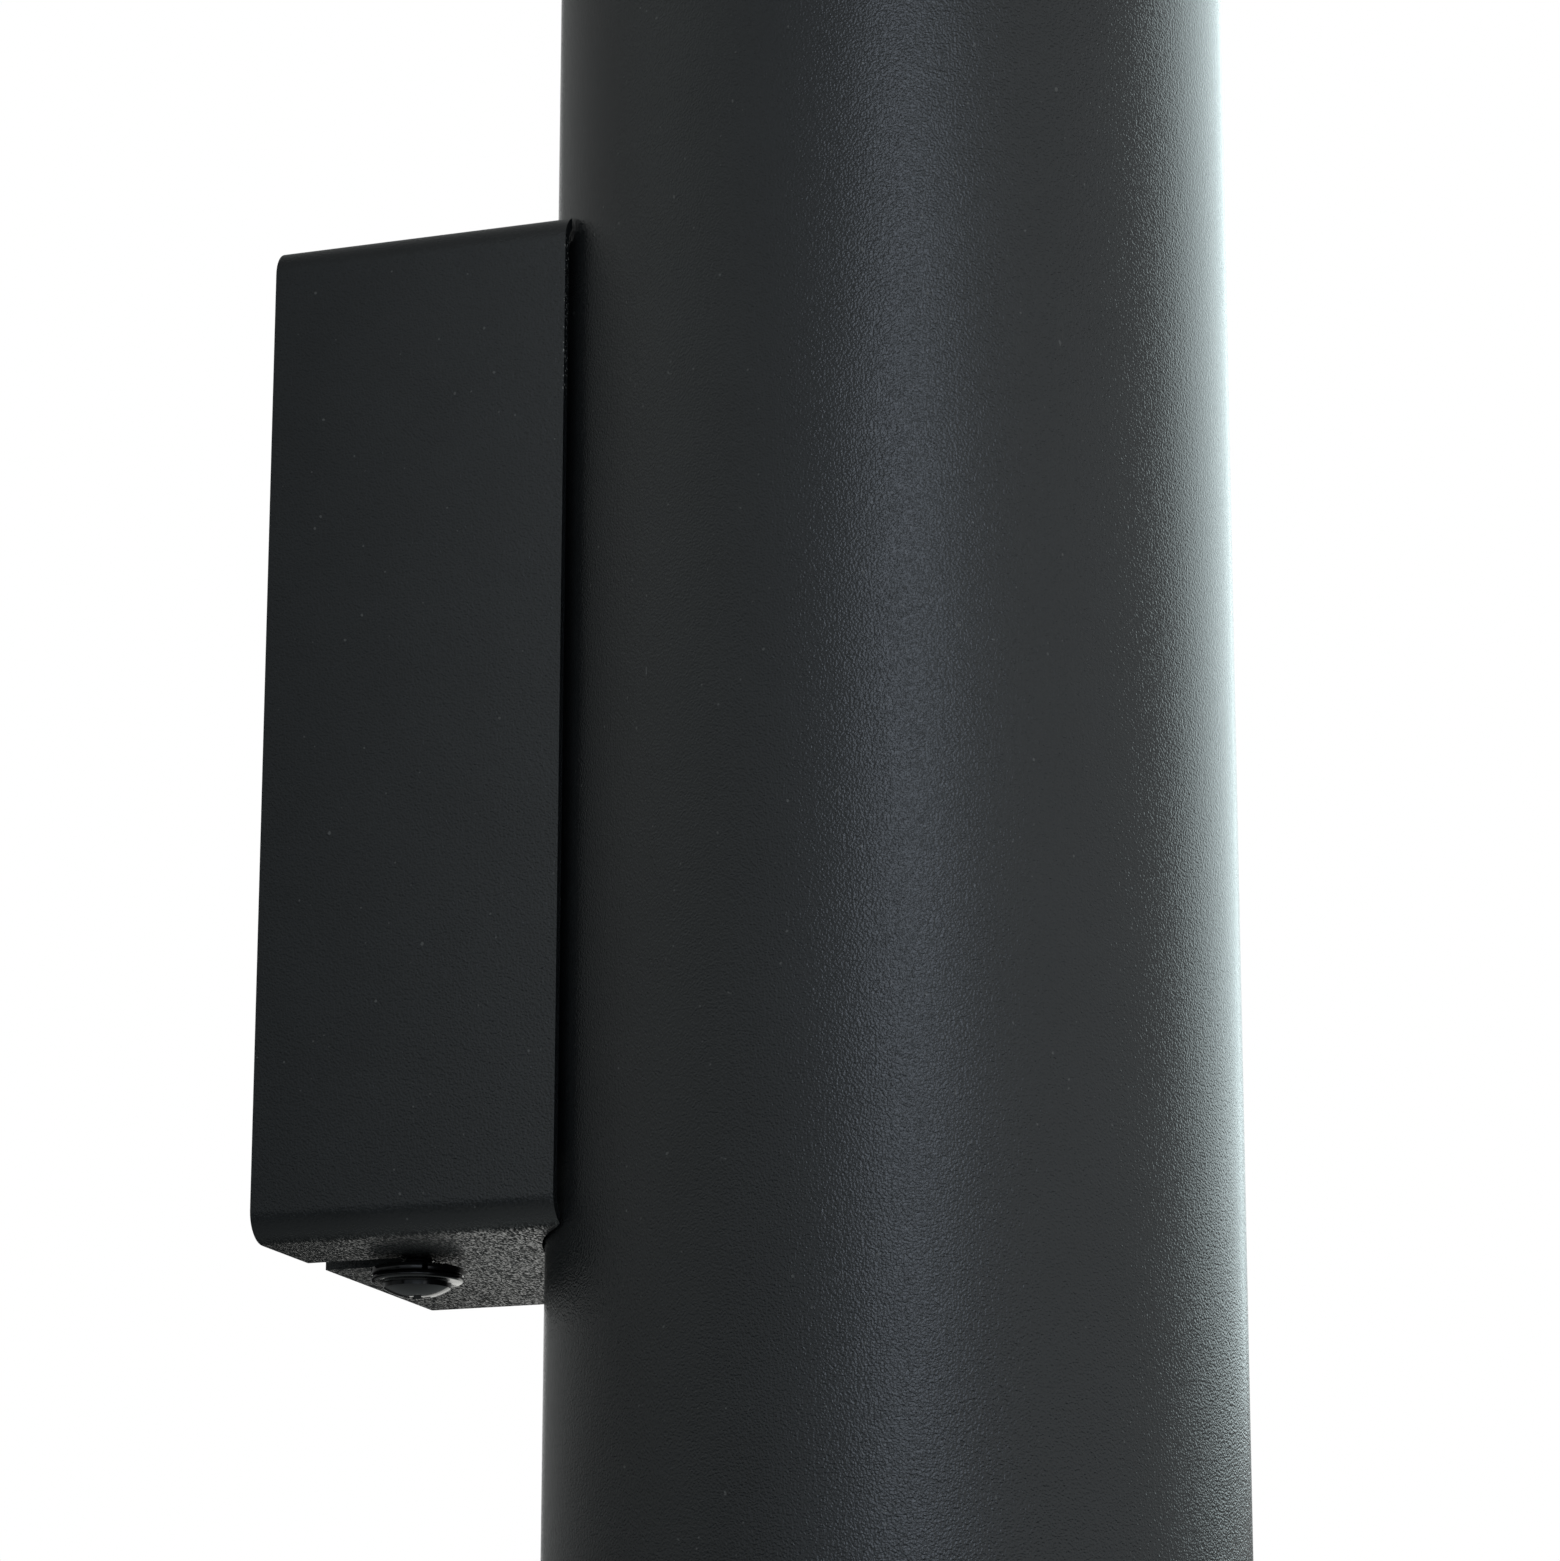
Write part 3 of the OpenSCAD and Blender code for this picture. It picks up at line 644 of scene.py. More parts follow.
def arc(centre: Sequence[float], radius: float, start: float, stop: float,
        steps: int) -> list[tuple[float, float]]:
    """Works out a round stretch of an outline.

    Args:
        centre: the arc's centre, two lengths.
        radius: its radius.
        start: the angle that it starts at, in radians from the first axis.
        stop: the angle that it ends at.
        steps: how many straight pieces it has.

    Returns:
        Its points, both ends included.
    """
    angles = [start + (stop - start) * k / steps for k in range(steps + 1)]
    return [(centre[0] + radius * math.cos(a), centre[1] + radius * math.sin(a)) for a in angles]


def round_corners(bm: Mesh, verts: Iterable[bmesh.types.BMVert], radius: float, segments: int = 3) -> None:
    """Rounds the given corners of a flat outline.

    Args:
        bm: the mesh.
        verts: the corners.
        radius: the rounding.
        segments: how many facets it has.
    """
    bmesh.ops.bevel(bm, geom=list(verts), offset=radius, offset_type="OFFSET", segments=segments,
                    profile=0.5, affect="VERTICES", clamp_overlap=True, material=-1)


def tidy(bm: Mesh) -> Mesh:
    """Merges doubles and turns all faces outwards.

    Args:
        bm: the mesh.

    Returns:
        The same mesh.
    """
    bmesh.ops.remove_doubles(bm, verts=bm.verts[:], dist=TOUCH)
    bmesh.ops.recalc_face_normals(bm, faces=bm.faces[:])
    return bm


def flatten(bm: Mesh) -> Mesh:
    """Merges doubles, joins faces that lie in one plane and drops points on straight edges.

    Args:
        bm: the mesh.

    Returns:
        The same mesh.
    """
    bmesh.ops.remove_doubles(bm, verts=bm.verts[:], dist=TOUCH)
    bmesh.ops.dissolve_limit(bm, angle_limit=FLAT, use_dissolve_boundaries=False, verts=bm.verts[:],
                             edges=bm.edges[:])
    return bm


def turned(profile: Sequence[Sequence[float]], rounding: float = 0.0, steps: int = 96,
           segments: int = 3) -> Mesh:
    """Turns a piece on the lathe round +Z.

    Args:
        profile: the closed outline as (radius, height), in metres.
        rounding: the radius of its outer corners.
        steps: how many facets the full turn has.
        segments: how many facets a rounded corner has.

    Returns:
        The turned mesh.
    """
    bm = bmesh.new()
    face = loop_of(bm, profile)
    if rounding > 0:
        round_corners(bm, [v for v in face.verts if v.co.x > TOUCH], rounding, segments)
    bmesh.ops.delete(bm, geom=bm.faces[:], context="FACES_ONLY")
    on_axis = [e for e in bm.edges if all(v.co.x < TOUCH for v in e.verts)]
    bmesh.ops.delete(bm, geom=on_axis, context="EDGES")
    bmesh.ops.spin(bm, geom=bm.verts[:] + bm.edges[:], axis=(0, 0, 1), cent=(0, 0, 0), steps=steps,
                   angle=FULL_TURN, use_merge=True)
    return tidy(bm)


def coiled(bm: Mesh, rise: float, steps: int, angle: float) -> Mesh:
    """Winds a flat outline round +Z into a solid coil with closed ends.

    Args:
        bm: the mesh that holds the outline.
        rise: how far the coil climbs.
        steps: how many facets it has.
        angle: how far round it goes, in radians.

    Returns:
        The same mesh.
    """
    bmesh.ops.spin(bm, geom=bm.verts[:] + bm.edges[:] + bm.faces[:], axis=(0, 0, 1), cent=(0, 0, 0),
                   dvec=(0, 0, rise / steps), steps=steps, angle=angle)
    return tidy(bm)


def extruded(bm: Mesh, way: Sequence[float]) -> Mesh:
    """Draws a flat outline out into a closed block.

    Args:
        bm: the mesh that holds the outline.
        way: how far and which way.

    Returns:
        The same mesh.
    """
    made = bmesh.ops.extrude_face_region(bm, geom=bm.faces[:], use_keep_orig=True)["geom"]
    bmesh.ops.translate(bm, verts=[v for v in made if isinstance(v, bmesh.types.BMVert)], vec=Vector(way))
    return tidy(bm)


def rod(radius: float, length: float, steps: int = 64) -> Mesh:
    """A plain rod along +Z from 0, for cutting holes."""
    return turned([(0, 0), (radius, 0), (radius, length), (0, length)], steps=steps)


def moved(bm: Mesh, facing: Facing, at: Sequence[float], spin: float = 0.0) -> Mesh:
    """Turns a mesh about its own axis, points it a way and puts it in its place.

    Args:
        bm: the mesh, drawn along +Z from the origin.
        facing: the way that +Z goes.
        at: where its origin goes.
        spin: the turn about its own axis, in radians.

    Returns:
        The same mesh.
    """
    place = Matrix.Translation(Vector(at)) @ facing.turn() @ Matrix.Rotation(spin, 4, "Z")
    bmesh.ops.transform(bm, matrix=place, verts=bm.verts[:])
    return bm


def joined(*parts: Mesh) -> Mesh:
    """Puts several meshes into the first one and frees the others.

    Args:
        parts: the meshes.

    Returns:
        The first of them.
    """
    whole = parts[0]
    for part in parts[1:]:
        mesh = bpy.data.meshes.new("part")
        part.to_mesh(mesh)
        whole.from_mesh(mesh)
        bpy.data.meshes.remove(mesh)
        part.free()
    return whole


def linked(name: str, data: bpy.types.ID) -> bpy.types.Object:
    """Puts a mesh, curve, light or camera into the scene.

    Args:
        name: the new object's name.
        data: what it shows.

    Returns:
        The object.
    """
    made = bpy.data.objects.new(name, data)
    bpy.context.scene.collection.objects.link(made)
    return made


def mesh_object(name: str, bm: Mesh) -> bpy.types.Object:
    """Makes an object of a mesh that is being edited, and frees the latter.

    Args:
        name: the object's name and its mesh's.
        bm: the mesh.

    Returns:
        The object.
    """
    mesh = bpy.data.meshes.new(name)
    bm.to_mesh(mesh)
    bm.free()
    return linked(name, mesh)


def evaluated(made: bpy.types.Object) -> Mesh:
    """Takes an object's shape with its modifiers or its curve's thickness.

    Args:
        made: the object.

    Returns:
        A mesh of that shape.
    """
    shaped = made.evaluated_get(bpy.context.evaluated_depsgraph_get())
    bm = bmesh.new()
    bm.from_mesh(shaped.to_mesh())
    return bm


def combined(fusion: Fusion, body: Mesh, others: Sequence[Mesh]) -> Mesh:
    """Cuts closed meshes out of a body, or fuses them with it.

    Args:
        fusion: which of the two.
        body: the mesh that stays.
        others: the meshes that are taken away or added.

    Returns:
        What that leaves.
    """
    base = mesh_object("body", body)
    tools = [mesh_object("tool", other) for other in others]
    for tool in tools:
        step = base.modifiers.new("step", "BOOLEAN")
        step.operation = fusion.value
        step.solver = "EXACT"
        step.object = tool
    bm = evaluated(base)
    for made in [base, *tools]:
        mesh = made.data
        bpy.data.objects.remove(made)
        bpy.data.meshes.remove(mesh)
    return bm


def carved(body: Mesh, cutters: Sequence[Mesh]) -> Mesh:
    """Cuts closed meshes out of a body and keeps its flat areas as single faces."""
    return flatten(combined(Fusion.CUT, body, cutters))


def ease(bm: Mesh, radius: float, segments: int = 2, sharp: float = 32.0) -> Mesh:
    """Rounds every edge that is sharper than an angle.

    Args:
        bm: the mesh.
        radius: the rounding.
        segments: how many facets it has.
        sharp: the angle between two faces, in degrees, from which their edge is rounded.

    Returns:
        The same mesh.
    """
    limit = math.radians(sharp)
    edges = [e for e in bm.edges if len(e.link_faces) == 2 and e.calc_face_angle(0.0) > limit]
    bmesh.ops.bevel(bm, geom=edges, offset=radius, offset_type="OFFSET", segments=segments, profile=0.5,
                    affect="EDGES", clamp_overlap=True, material=-1)
    return bm


def copy_of(node: str) -> Mesh:
    """Copies a node's mesh, with its flat areas as single faces.

    Args:
        node: the node's name.

    Returns:
        The merged copy.
    """
    bm = bmesh.new()
    bm.from_mesh(frame["nodes"][node].data)
    return flatten(bm)


def piece(name: str, bm: Mesh, finish: Finish, node: str, even: bool = True, smooth: float = 38.0) -> None:
    """Makes a finished piece of the lamp that stands for a node.

    Args:
        name: the piece's name.
        bm: its mesh, in place.
        finish: its finish.
        node: the node that it stands for and rides with.
        even: whether large faces keep their own flat shading beside small ones.
        smooth: edges up to this angle, in degrees, are shaded smooth.
    """
    limit = math.radians(smooth)
    for face in bm.faces:
        face.smooth = True
    for edge in bm.edges:
        edge.smooth = edge.calc_face_angle(0.0) < limit
    made = mesh_object(name, bm)
    made.data.materials.append(material_of(finish))
    if even:
        weights = made.modifiers.new("even_shading", "WEIGHTED_NORMAL")
        weights.keep_sharp = True
    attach(made, frame["nodes"][node]["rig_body"])
    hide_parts(node)
    log.info("%s: %d faces, %s, stands for %s", name, len(made.data.polygons), finish.name, node)


def eased_piece(node: str, finish: Finish, radius: float, segments: int = 2) -> None:
    """Makes a piece from a node's own shape with its edges rounded.

    Args:
        node: the node that it copies and stands for.
        finish: its finish.
        radius: the rounding of its edges.
        segments: how many facets the rounding has.
    """
    piece(f"{node}_piece", ease(copy_of(node), radius, segments), finish, node)


def dressed_node(node: str, finish: Finish) -> None:
    """Leaves a node's own shape and gives it its finish.

    Args:
        node: the node's name.
        finish: its finish.
    """
    made = frame["nodes"][node]
    made.data.materials.clear()
    made.data.materials.append(material_of(finish))
    log.info("%s: its own shape, %s", node, finish.name)


@dataclass(frozen=True)
class Layout:
    """Places that several sub-assemblies share, read from the frame."""

    tube_r: float
    tube_half: float
    axis_y: float
    box_half_w: float
    box_half_h: float
    box_depth: float

    @classmethod
    def read(cls) -> "Layout":
        """Reads the layout from the nodes' boxes.

        Returns:
            The layout.
        """
        tube_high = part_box("lamp_tube")[1]
        box_low, box_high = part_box("arm_box")
        return cls(tube_r=tube_high.x, tube_half=tube_high.z, axis_y=tube_high.y - tube_high.x,
                   box_half_w=box_high.x, box_half_h=box_high.z, box_depth=-box_low.y)

    def on_axis(self, height: float = 0.0) -> Vector:
        """A point on the tube's axis."""
        return Vector((0.0, self.axis_y, height))


@dataclass
class Tube:
    """The coated tube."""

    layout: Layout
    wall: float = 1.5 * MM
    lip: float = 0.4 * MM
    facets: int = 288
    screw_hole: float = 2.2 * MM
    pipe_hole: float = 5.2 * MM
    screw_height: float = 36 * MM

    def build(self) -> None:
        """Builds the tube with its rounded ends and its three hidden holes."""
        outer, half = self.layout.tube_r, self.layout.tube_half
        inner = outer - self.wall
        bm = turned([(inner, -half), (outer, -half), (outer, half), (inner, half)], self.lip, self.facets)
        moved(bm, Facing.UP, self.layout.on_axis())
        front = self.layout.axis_y + outer + 2 * self.wall
        holes = []
        for radius, height in ((self.screw_hole, self.screw_height), (self.screw_hole, -self.screw_height),
                               (self.pipe_hole, 0.0)):
            holes.append(moved(rod(radius, 4 * self.wall), Facing.ROOM, (0.0, front, height)))
        piece("tube_skin", carved(bm, holes), Finishes.tube, "lamp_tube")


@dataclass
class ArmBox:
    """The folded box between the wall and the tube."""

    layout: Layout
    sheet: float = 1.2 * MM
    fold: float = 3.5 * MM
    fold_facets: int = 10
    scribe_gap: float = 0.3 * MM
    scribe_facets: int = 256
    slot_w: float = 5 * MM
    slot_end: float = 15 * MM
    slot_x: float = -9.4 * MM
    nose_facets: int = 16
    edge: float = 0.22 * MM

    def build(self) -> None:
        """Builds the box with its scribed ends, its slots and softly coated edges."""
        half_w, half_h = self.layout.box_half_w, self.layout.box_half_h
        bm = bmesh.new()
        face = loop_of(bm, [(-half_w, -half_h), (half_w, -half_h), (half_w, half_h), (-half_w, half_h)])
        round_corners(bm, face.verts[:], self.fold, self.fold_facets)
        bmesh.ops.inset_region(bm, faces=bm.faces[:], thickness=self.sheet, use_even_offset=True,
                               use_boundary=True)
        middle = max(bm.faces, key=lambda f: len(f.verts))
        bmesh.ops.delete(bm, geom=[middle], context="FACES_ONLY")
        extruded(bm, (0.0, -self.layout.box_depth, 0.0))
        body = carved(bm, [self.tube_cutter(), self.slot_cutter()])
        piece("arm_box_sheet", ease(body, self.edge, segments=3), Finishes.box, "arm_box")

    def tube_cutter(self) -> Mesh:
        """Makes the round that the top and the bottom are scribed to.

        Returns:
            The cutter.
        """
        length = 3 * self.layout.box_half_h
        cut = rod(self.layout.tube_r + self.scribe_gap, length, self.scribe_facets)
        return moved(cut, Facing.UP, self.layout.on_axis(-length / 2))

    def slot_cutter(self) -> Mesh:
        """Makes one tall block with a round nose that opens both slots from the wall side.

        Returns:
            The cutter.
        """
        half, height = self.slot_w / 2, self.layout.box_half_h + self.slot_w
        left, right = self.slot_x - half, self.slot_x + half
        bm = bmesh.new()
        face = loop_of(bm, [(left, half), (right, half), (right, -self.slot_end), (left, -self.slot_end)],
                       Plane.LEVEL)
        nose = [v for v in face.verts if v.co.y < 0]
        # A shade under half the width, so that the two rounded corners stay apart.
        round_corners(bm, nose, half * 0.999, self.nose_facets)
        extruded(bm, (0.0, 0.0, 2 * height))
        return moved(bm, Facing.UP, (0.0, 0.0, -height))


@dataclass
class ScrewStack:
    """The captive screw and its lock washer at one end of the arm box."""

    end: End
    facets: int = 96
    flange_t: float = 0.7 * MM
    rim_facets: int = 10
    head_r: float = 3.9 * MM
    head_h: float = 1.8 * MM
    head_rim: float = 0.7 * MM
    dome_facets: int = 10
    fillet: float = 0.25 * MM
    fillet_middle: float = 0.07 * MM
    burr: float = 0.05 * MM
    shank_r: float = 1.95 * MM
    plain: float = 0.8 * MM
    run_out: float = 0.3 * MM
    core_r: float = 1.62 * MM
    tip: float = 0.5 * MM
    pitch: float = 0.7 * MM
    crest: float = 0.06 * MM
    ridge_half: float = 0.308 * MM
    thread_facets: int = 36
    thread_from: float = 0.9 * MM
    thread_short: float = 2.3 * MM
    seat: float = 0.05 * MM
    recess_w: float = 1.0 * MM
    recess_l: float = 4.4 * MM
    recess_depth: float = 1.3 * MM
    recess_point: float = 0.3 * MM
    recess_taper: tuple[float, float, float] = (0.5, 0.7, 1.0)
    cone_foot: float = 0.5 * MM
    cone_mouth: float = 1.15 * MM
    cone_over: float = 1.0 * MM
    cone_facets: int = 32
    recess_turn: float = math.radians(25)
    washer_split: float = 0.7 * MM
    washer_bore: float = 2.15 * MM
    washer_rise: float = 0.06 * MM
    washer_edge: float = 0.13 * MM
    washer_facets: int = 90

    def build(self) -> None:
        """Builds the washer and the screw on their own bodies."""
        low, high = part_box(f"{self.end.side}_washer")
        centre = (low + high) / 2
        outer_r = (high.x - low.x) / 2
        thick = high.z - low.z
        inner_face = low.z if self.end is End.UPPER else high.z
        self.washer((centre.x, centre.y, inner_face), outer_r, thick)
        screw_low, screw_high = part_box(f"{self.end.side}_screw")
        tip = screw_low.z if self.end is End.UPPER else -screw_high.z
        flange_z = abs(inner_face) + thick + self.seat
        self.screw((centre.x, centre.y, self.end.value * flange_z), outer_r, flange_z - tip)

    def washer(self, at: Sequence[float], outer_r: float, thick: float) -> None:
        """Builds a split ring whose two ends stand a little apart.

        Args:
            at: the middle of its lower face.
            outer_r: its outer radius.
            thick: its thickness.
        """
        bm = bmesh.new()
        flat = thick - self.washer_rise
        face = loop_of(bm, [(self.washer_bore, 0), (outer_r, 0), (outer_r, flat), (self.washer_bore, flat)])
        round_corners(bm, face.verts[:], self.washer_edge, segments=2)
        gap = self.washer_split / outer_r
        coiled(bm, self.washer_rise, self.washer_facets, FULL_TURN - gap)
        turn = math.pi + self.recess_turn * self.end.value + gap / 2
        if self.end is End.LOWER:
            turn = turn + math.pi - gap
        moved(bm, self.end.facing, at, turn)
        piece(f"{self.end.side}_lock_washer", bm, Finishes.black, f"{self.end.side}_washer")

    def screw(self, at: Sequence[float], flange_r: float, length: float) -> None:
        """Builds a flanged, domed and cross-recessed screw with its thread.

        Args:
            at: the middle of the flange's face towards the box.
            flange_r: the flange's radius.
            length: from that face to the screw's tip.
        """
        top = self.flange_t + self.head_h
        bm = turned(self.outline(flange_r, length, top), steps=self.facets)
        bm = carved(bm, [self.recess(top)])
        bm = joined(ease(bm, self.burr, sharp=40.0), self.thread(length))
        moved(bm, self.end.facing, at)
        piece(f"{self.end.side}_bracket_screw", bm, Finishes.black, f"{self.end.side}_screw", even=False)

    def outline(self, flange_r: float, length: float, top: float) -> list[tuple[float, float]]:
        """Draws half of the screw's section from its tip to the top of its dome.

        Args:
            flange_r: the flange's radius.
            length: from the flange's lower face to the tip.
            top: the dome's height over that face.

        Returns:
            The outline as (radius, height).
        """
        crown = self.head_h - self.head_rim
        dome_r = (self.head_r ** 2 + crown ** 2) / (2 * crown)
        dome_from = math.acos(self.head_r / dome_r)
        bulge = self.flange_t / 2
        quarter = math.pi / 2
        hollow = self.fillet_middle
        shank = [(0.0, -length), (self.core_r - self.tip, -length), (self.core_r, self.tip - length),
                 (self.core_r, -self.plain - self.run_out), (self.shank_r, -self.plain), (self.shank_r, 0.0)]
        rim = arc((flange_r - bulge, bulge), bulge, -quarter, quarter, self.rim_facets)
        neck = [(self.head_r + self.fillet, self.flange_t), (self.head_r + hollow, self.flange_t + hollow),
                (self.head_r, self.flange_t + self.fillet)]
        dome = arc((0.0, top - dome_r), dome_r, dome_from, quarter, self.dome_facets)
        return [*shank, *rim, *neck, *dome]

    def recess(self, top: float) -> Mesh:
        """Makes the cutter of the cross recess: two tapered blades and a cone where they meet.

        Args:
            top: the dome's height over the flange's lower face.

        Returns:
            The cutter.
        """
        blades = []
        for quarter in (0, 1):
            bm = bmesh.new()
            bmesh.ops.create_cube(bm, size=1.0)
            bmesh.ops.scale(bm, verts=bm.verts[:], vec=(self.recess_l, self.recess_w, 2 * self.recess_depth))
            floor = [v for v in bm.verts if v.co.z < 0]
            bmesh.ops.scale(bm, verts=floor, vec=self.recess_taper)
            turn = self.recess_turn * self.end.value + quarter * math.pi / 2
            blades.append(moved(bm, Facing.UP, (0, 0, top), turn))
        foot_z, over = top - self.recess_depth, top + self.cone_over
        cone = turned([(0, foot_z - self.recess_point), (self.cone_foot, foot_z), (self.cone_mouth, over),
                       (0, over)], steps=self.cone_facets)
        return combined(Fusion.FUSE, blades[0], [blades[1], cone])

    def thread(self, length: float) -> Mesh:
        """Makes a right-handed helical ridge round the screw's core.

        Args:
            length: from the flange's lower face to the tip.

        Returns:
            The ridge.
        """
        root = self.core_r - self.crest
        start = self.thread_from - length
        turns = (length - self.thread_short) / self.pitch
        bm = bmesh.new()
        loop_of(bm, [(root, start - self.ridge_half), (self.shank_r, start - self.crest),
                     (self.shank_r, start + self.crest), (root, start + self.ridge_half)])
        return coiled(bm, turns * self.pitch, round(turns * self.thread_facets), FULL_TURN * turns)


@dataclass
class Bracket:
    """What stays on the wall: the folded bracket, its clinch nuts and the cable grommet."""

    edges: tuple[tuple[str, float], ...] = (("wall_bracket", 0.18 * MM), ("clinch_nuts", 0.12 * MM))
    bore: float = 7 * MM
    neck: float = 9.45 * MM
    lip: float = 11.5 * MM
    lip_edge: float = 0.45 * MM
    shoulder: float = 1.55 * MM
    height: float = 3 * MM

    def build(self) -> None:
        """Builds the three pieces on the wall."""
        for node, radius in self.edges:
            eased_piece(node, Finishes.zinc, radius)
        bm = turned([(self.bore, 0), (self.neck, 0), (self.neck, self.shoulder), (self.lip, self.shoulder),
                     (self.lip, self.height), (self.bore, self.height)], self.lip_edge, segments=4)
        piece("grommet", moved(bm, Facing.ROOM, (0, 0, 0)), Finishes.rubber, "cable_grommet")


@dataclass
class Saddle:
    """The folded saddle between box and tube, with the fixings that clamp them together."""

    edges: tuple[tuple[str, float], ...] = (
        ("saddle_plate", 0.2 * MM), ("saddle_screws", 0.1 * MM), ("saddle_nuts", 0.15 * MM),
        ("cable_pipe", 0.15 * MM), ("pipe_nuts", 0.25 * MM), ("pipe_washer", 0.08 * MM))

    def build(self) -> None:
        """Builds the saddle and its fixings."""
        for node, radius in self.edges:
            eased_piece(node, Finishes.zinc, radius)


@dataclass
class Carrier:
    """The strap inside the tube and the screws that hold the lampholders on it."""

    edges: tuple[tuple[str, float], ...] = (("lamp_carrier", 0.2 * MM), ("holder_screws", 0.12 * MM))

    def build(self) -> None:
        """Builds the strap and its screws."""
        for node, radius in self.edges:
            eased_piece(node, Finishes.zinc, radius)


@dataclass
class Wiring:
    """The terminal block, the earth terminal and the leads."""

    layout: Layout
    edges: tuple[tuple[str, Finish, float], ...] = (
        ("terminal_block", Finishes.white, 0.3 * MM), ("terminal_screws", Finishes.zinc, 0.08 * MM),
        ("block_screws", Finishes.zinc, 0.1 * MM), ("earth_screw", Finishes.brass, 0.1 * MM),
        ("earth_tag", Finishes.tin, 0.08 * MM))
    lead_r: float = 0.95 * MM
    lead_gap: float = 0.2 * MM
    lead_facets: int = 20
    pin_r: float = 5 * MM
    lock_angle: float = math.radians(25)
    lead_top: float = 58.45 * MM
    drop: float = 36.65 * MM
    swing: float = 24 * MM
    bow: float = 6 * MM
    grip: float = 3 * MM
    pipe_front: float = 37.56 * MM
    pipe_rear: float = 21.25 * MM
    straight: float = 8 * MM
    pole_pitch: float = 10 * MM
    pole_depth: float = 18.15 * MM
    block_foot: float = 11 * MM
    tag: Vector = field(default_factory=lambda: Vector((16 * MM, -24.55 * MM, -13 * MM)))
    tag_rise: float = 4 * MM
    earth_bow: float = 12 * MM

    def build(self) -> None:
        """Builds the block, its metal parts and all leads."""
        for node, finish, radius in self.edges:
            eased_piece(node, finish, radius)
        dressed_node("terminal_sleeves", Finishes.brass)
        for pole, name, finish in ((-1, "live", Finishes.live), (1, "neutral", Finishes.neutral)):
            paths = [self.lead_path(end.value, pole) for end in End]
            piece(f"{name}_wires", self.wires(paths), finish, f"{name}_leads", even=False)
        piece("earth_wire", self.wires([self.earth_path()]), Finishes.earth, "earth_lead", even=False)

    @staticmethod
    def bend(points: Sequence[Vector], steps: int = 20) -> list[Vector]:
        """Draws a curve from the first point to the last.

        Args:
            points: its start, a point that it leaves towards, a point that it arrives from, and its end.
            steps: how many straight pieces it has.

        Returns:
            Its points, both ends included.
        """
        a, b, c, d = points
        curve = []
        for k in range(steps + 1):
            t = k / steps
            u = 1 - t
            curve.append(a * u ** 3 + b * (3 * u * u * t) + c * (3 * u * t * t) + d * t ** 3)
        return curve

    def lead_path(self, side: int, pole: int) -> list[Vector]:
        """The way of one lead from its lampholder through the pipe into its terminal.

        Args:
            side: 1 for the upper lamp, -1 for the lower one.
            pole: -1 for live, 1 for neutral.

        Returns:
            The points of its middle line.
        """
        off = self.lead_r + self.lead_gap
        x = pole * self.pin_r * math.sin(self.lock_angle / 2)
        y = self.layout.axis_y - side * pole * self.pin_r * math.cos(self.lock_angle / 2)
        start = Vector((x, y, side * self.lead_top))
        drop = Vector((x, y, side * self.drop))
        mouth = Vector((pole * off, -self.pipe_front - self.straight / 2, side * off))
        rear = Vector((pole * off, -self.pipe_rear, side * off))
        entry = Vector((pole * self.pole_pitch, -self.pole_depth - side * off, self.block_foot))
        rise = Vector((0, 0, self.bow))
        inside = self.bend((drop, drop - Vector((0, 0, side * self.swing)),
                            mouth - Vector((0, self.swing, 0)), mouth))
        behind = self.bend((rear, rear + Vector((0, self.bow - side * off, 0)), entry - rise, entry))
        return [start, *inside, *behind, entry + Vector((0, 0, self.grip))]

    def earth_path(self) -> list[Vector]:
        """The way of the earth lead from its tag to the middle terminal.

        Returns:
            The points of its middle line.
        """
        leave = self.tag + Vector((0, 0, self.tag_rise))
        entry = Vector((0, -self.pole_depth, self.block_foot))
        way = self.bend((leave, leave + Vector((0, self.earth_bow, self.earth_bow)),
                         entry + Vector((0, self.earth_bow, -self.earth_bow / 2)), entry))
        return [self.tag, *way, entry + Vector((0, 0, self.grip))]

    def wires(self, paths: Sequence[Sequence[Vector]]) -> Mesh:
        """Sweeps one round sleeve along each path.

        Args:
            paths: the middle lines.

        Returns:
            One mesh with all sleeves.
        """
        curve = bpy.data.curves.new("wires", "CURVE")
        curve.dimensions = "3D"
        curve.bevel_depth = self.lead_r
        curve.bevel_resolution = self.lead_facets // 4
        curve.use_fill_caps = True
        for path in paths:
            line = curve.splines.new("POLY")
            line.points.add(len(path) - 1)
            for point, place in zip(line.points, path):
                point.co = (*place, 1.0)
        helper = linked("wires", curve)
        bm = evaluated(helper)
        bpy.data.objects.remove(helper)
        bpy.data.curves.remove(curve)
        return tidy(bm)


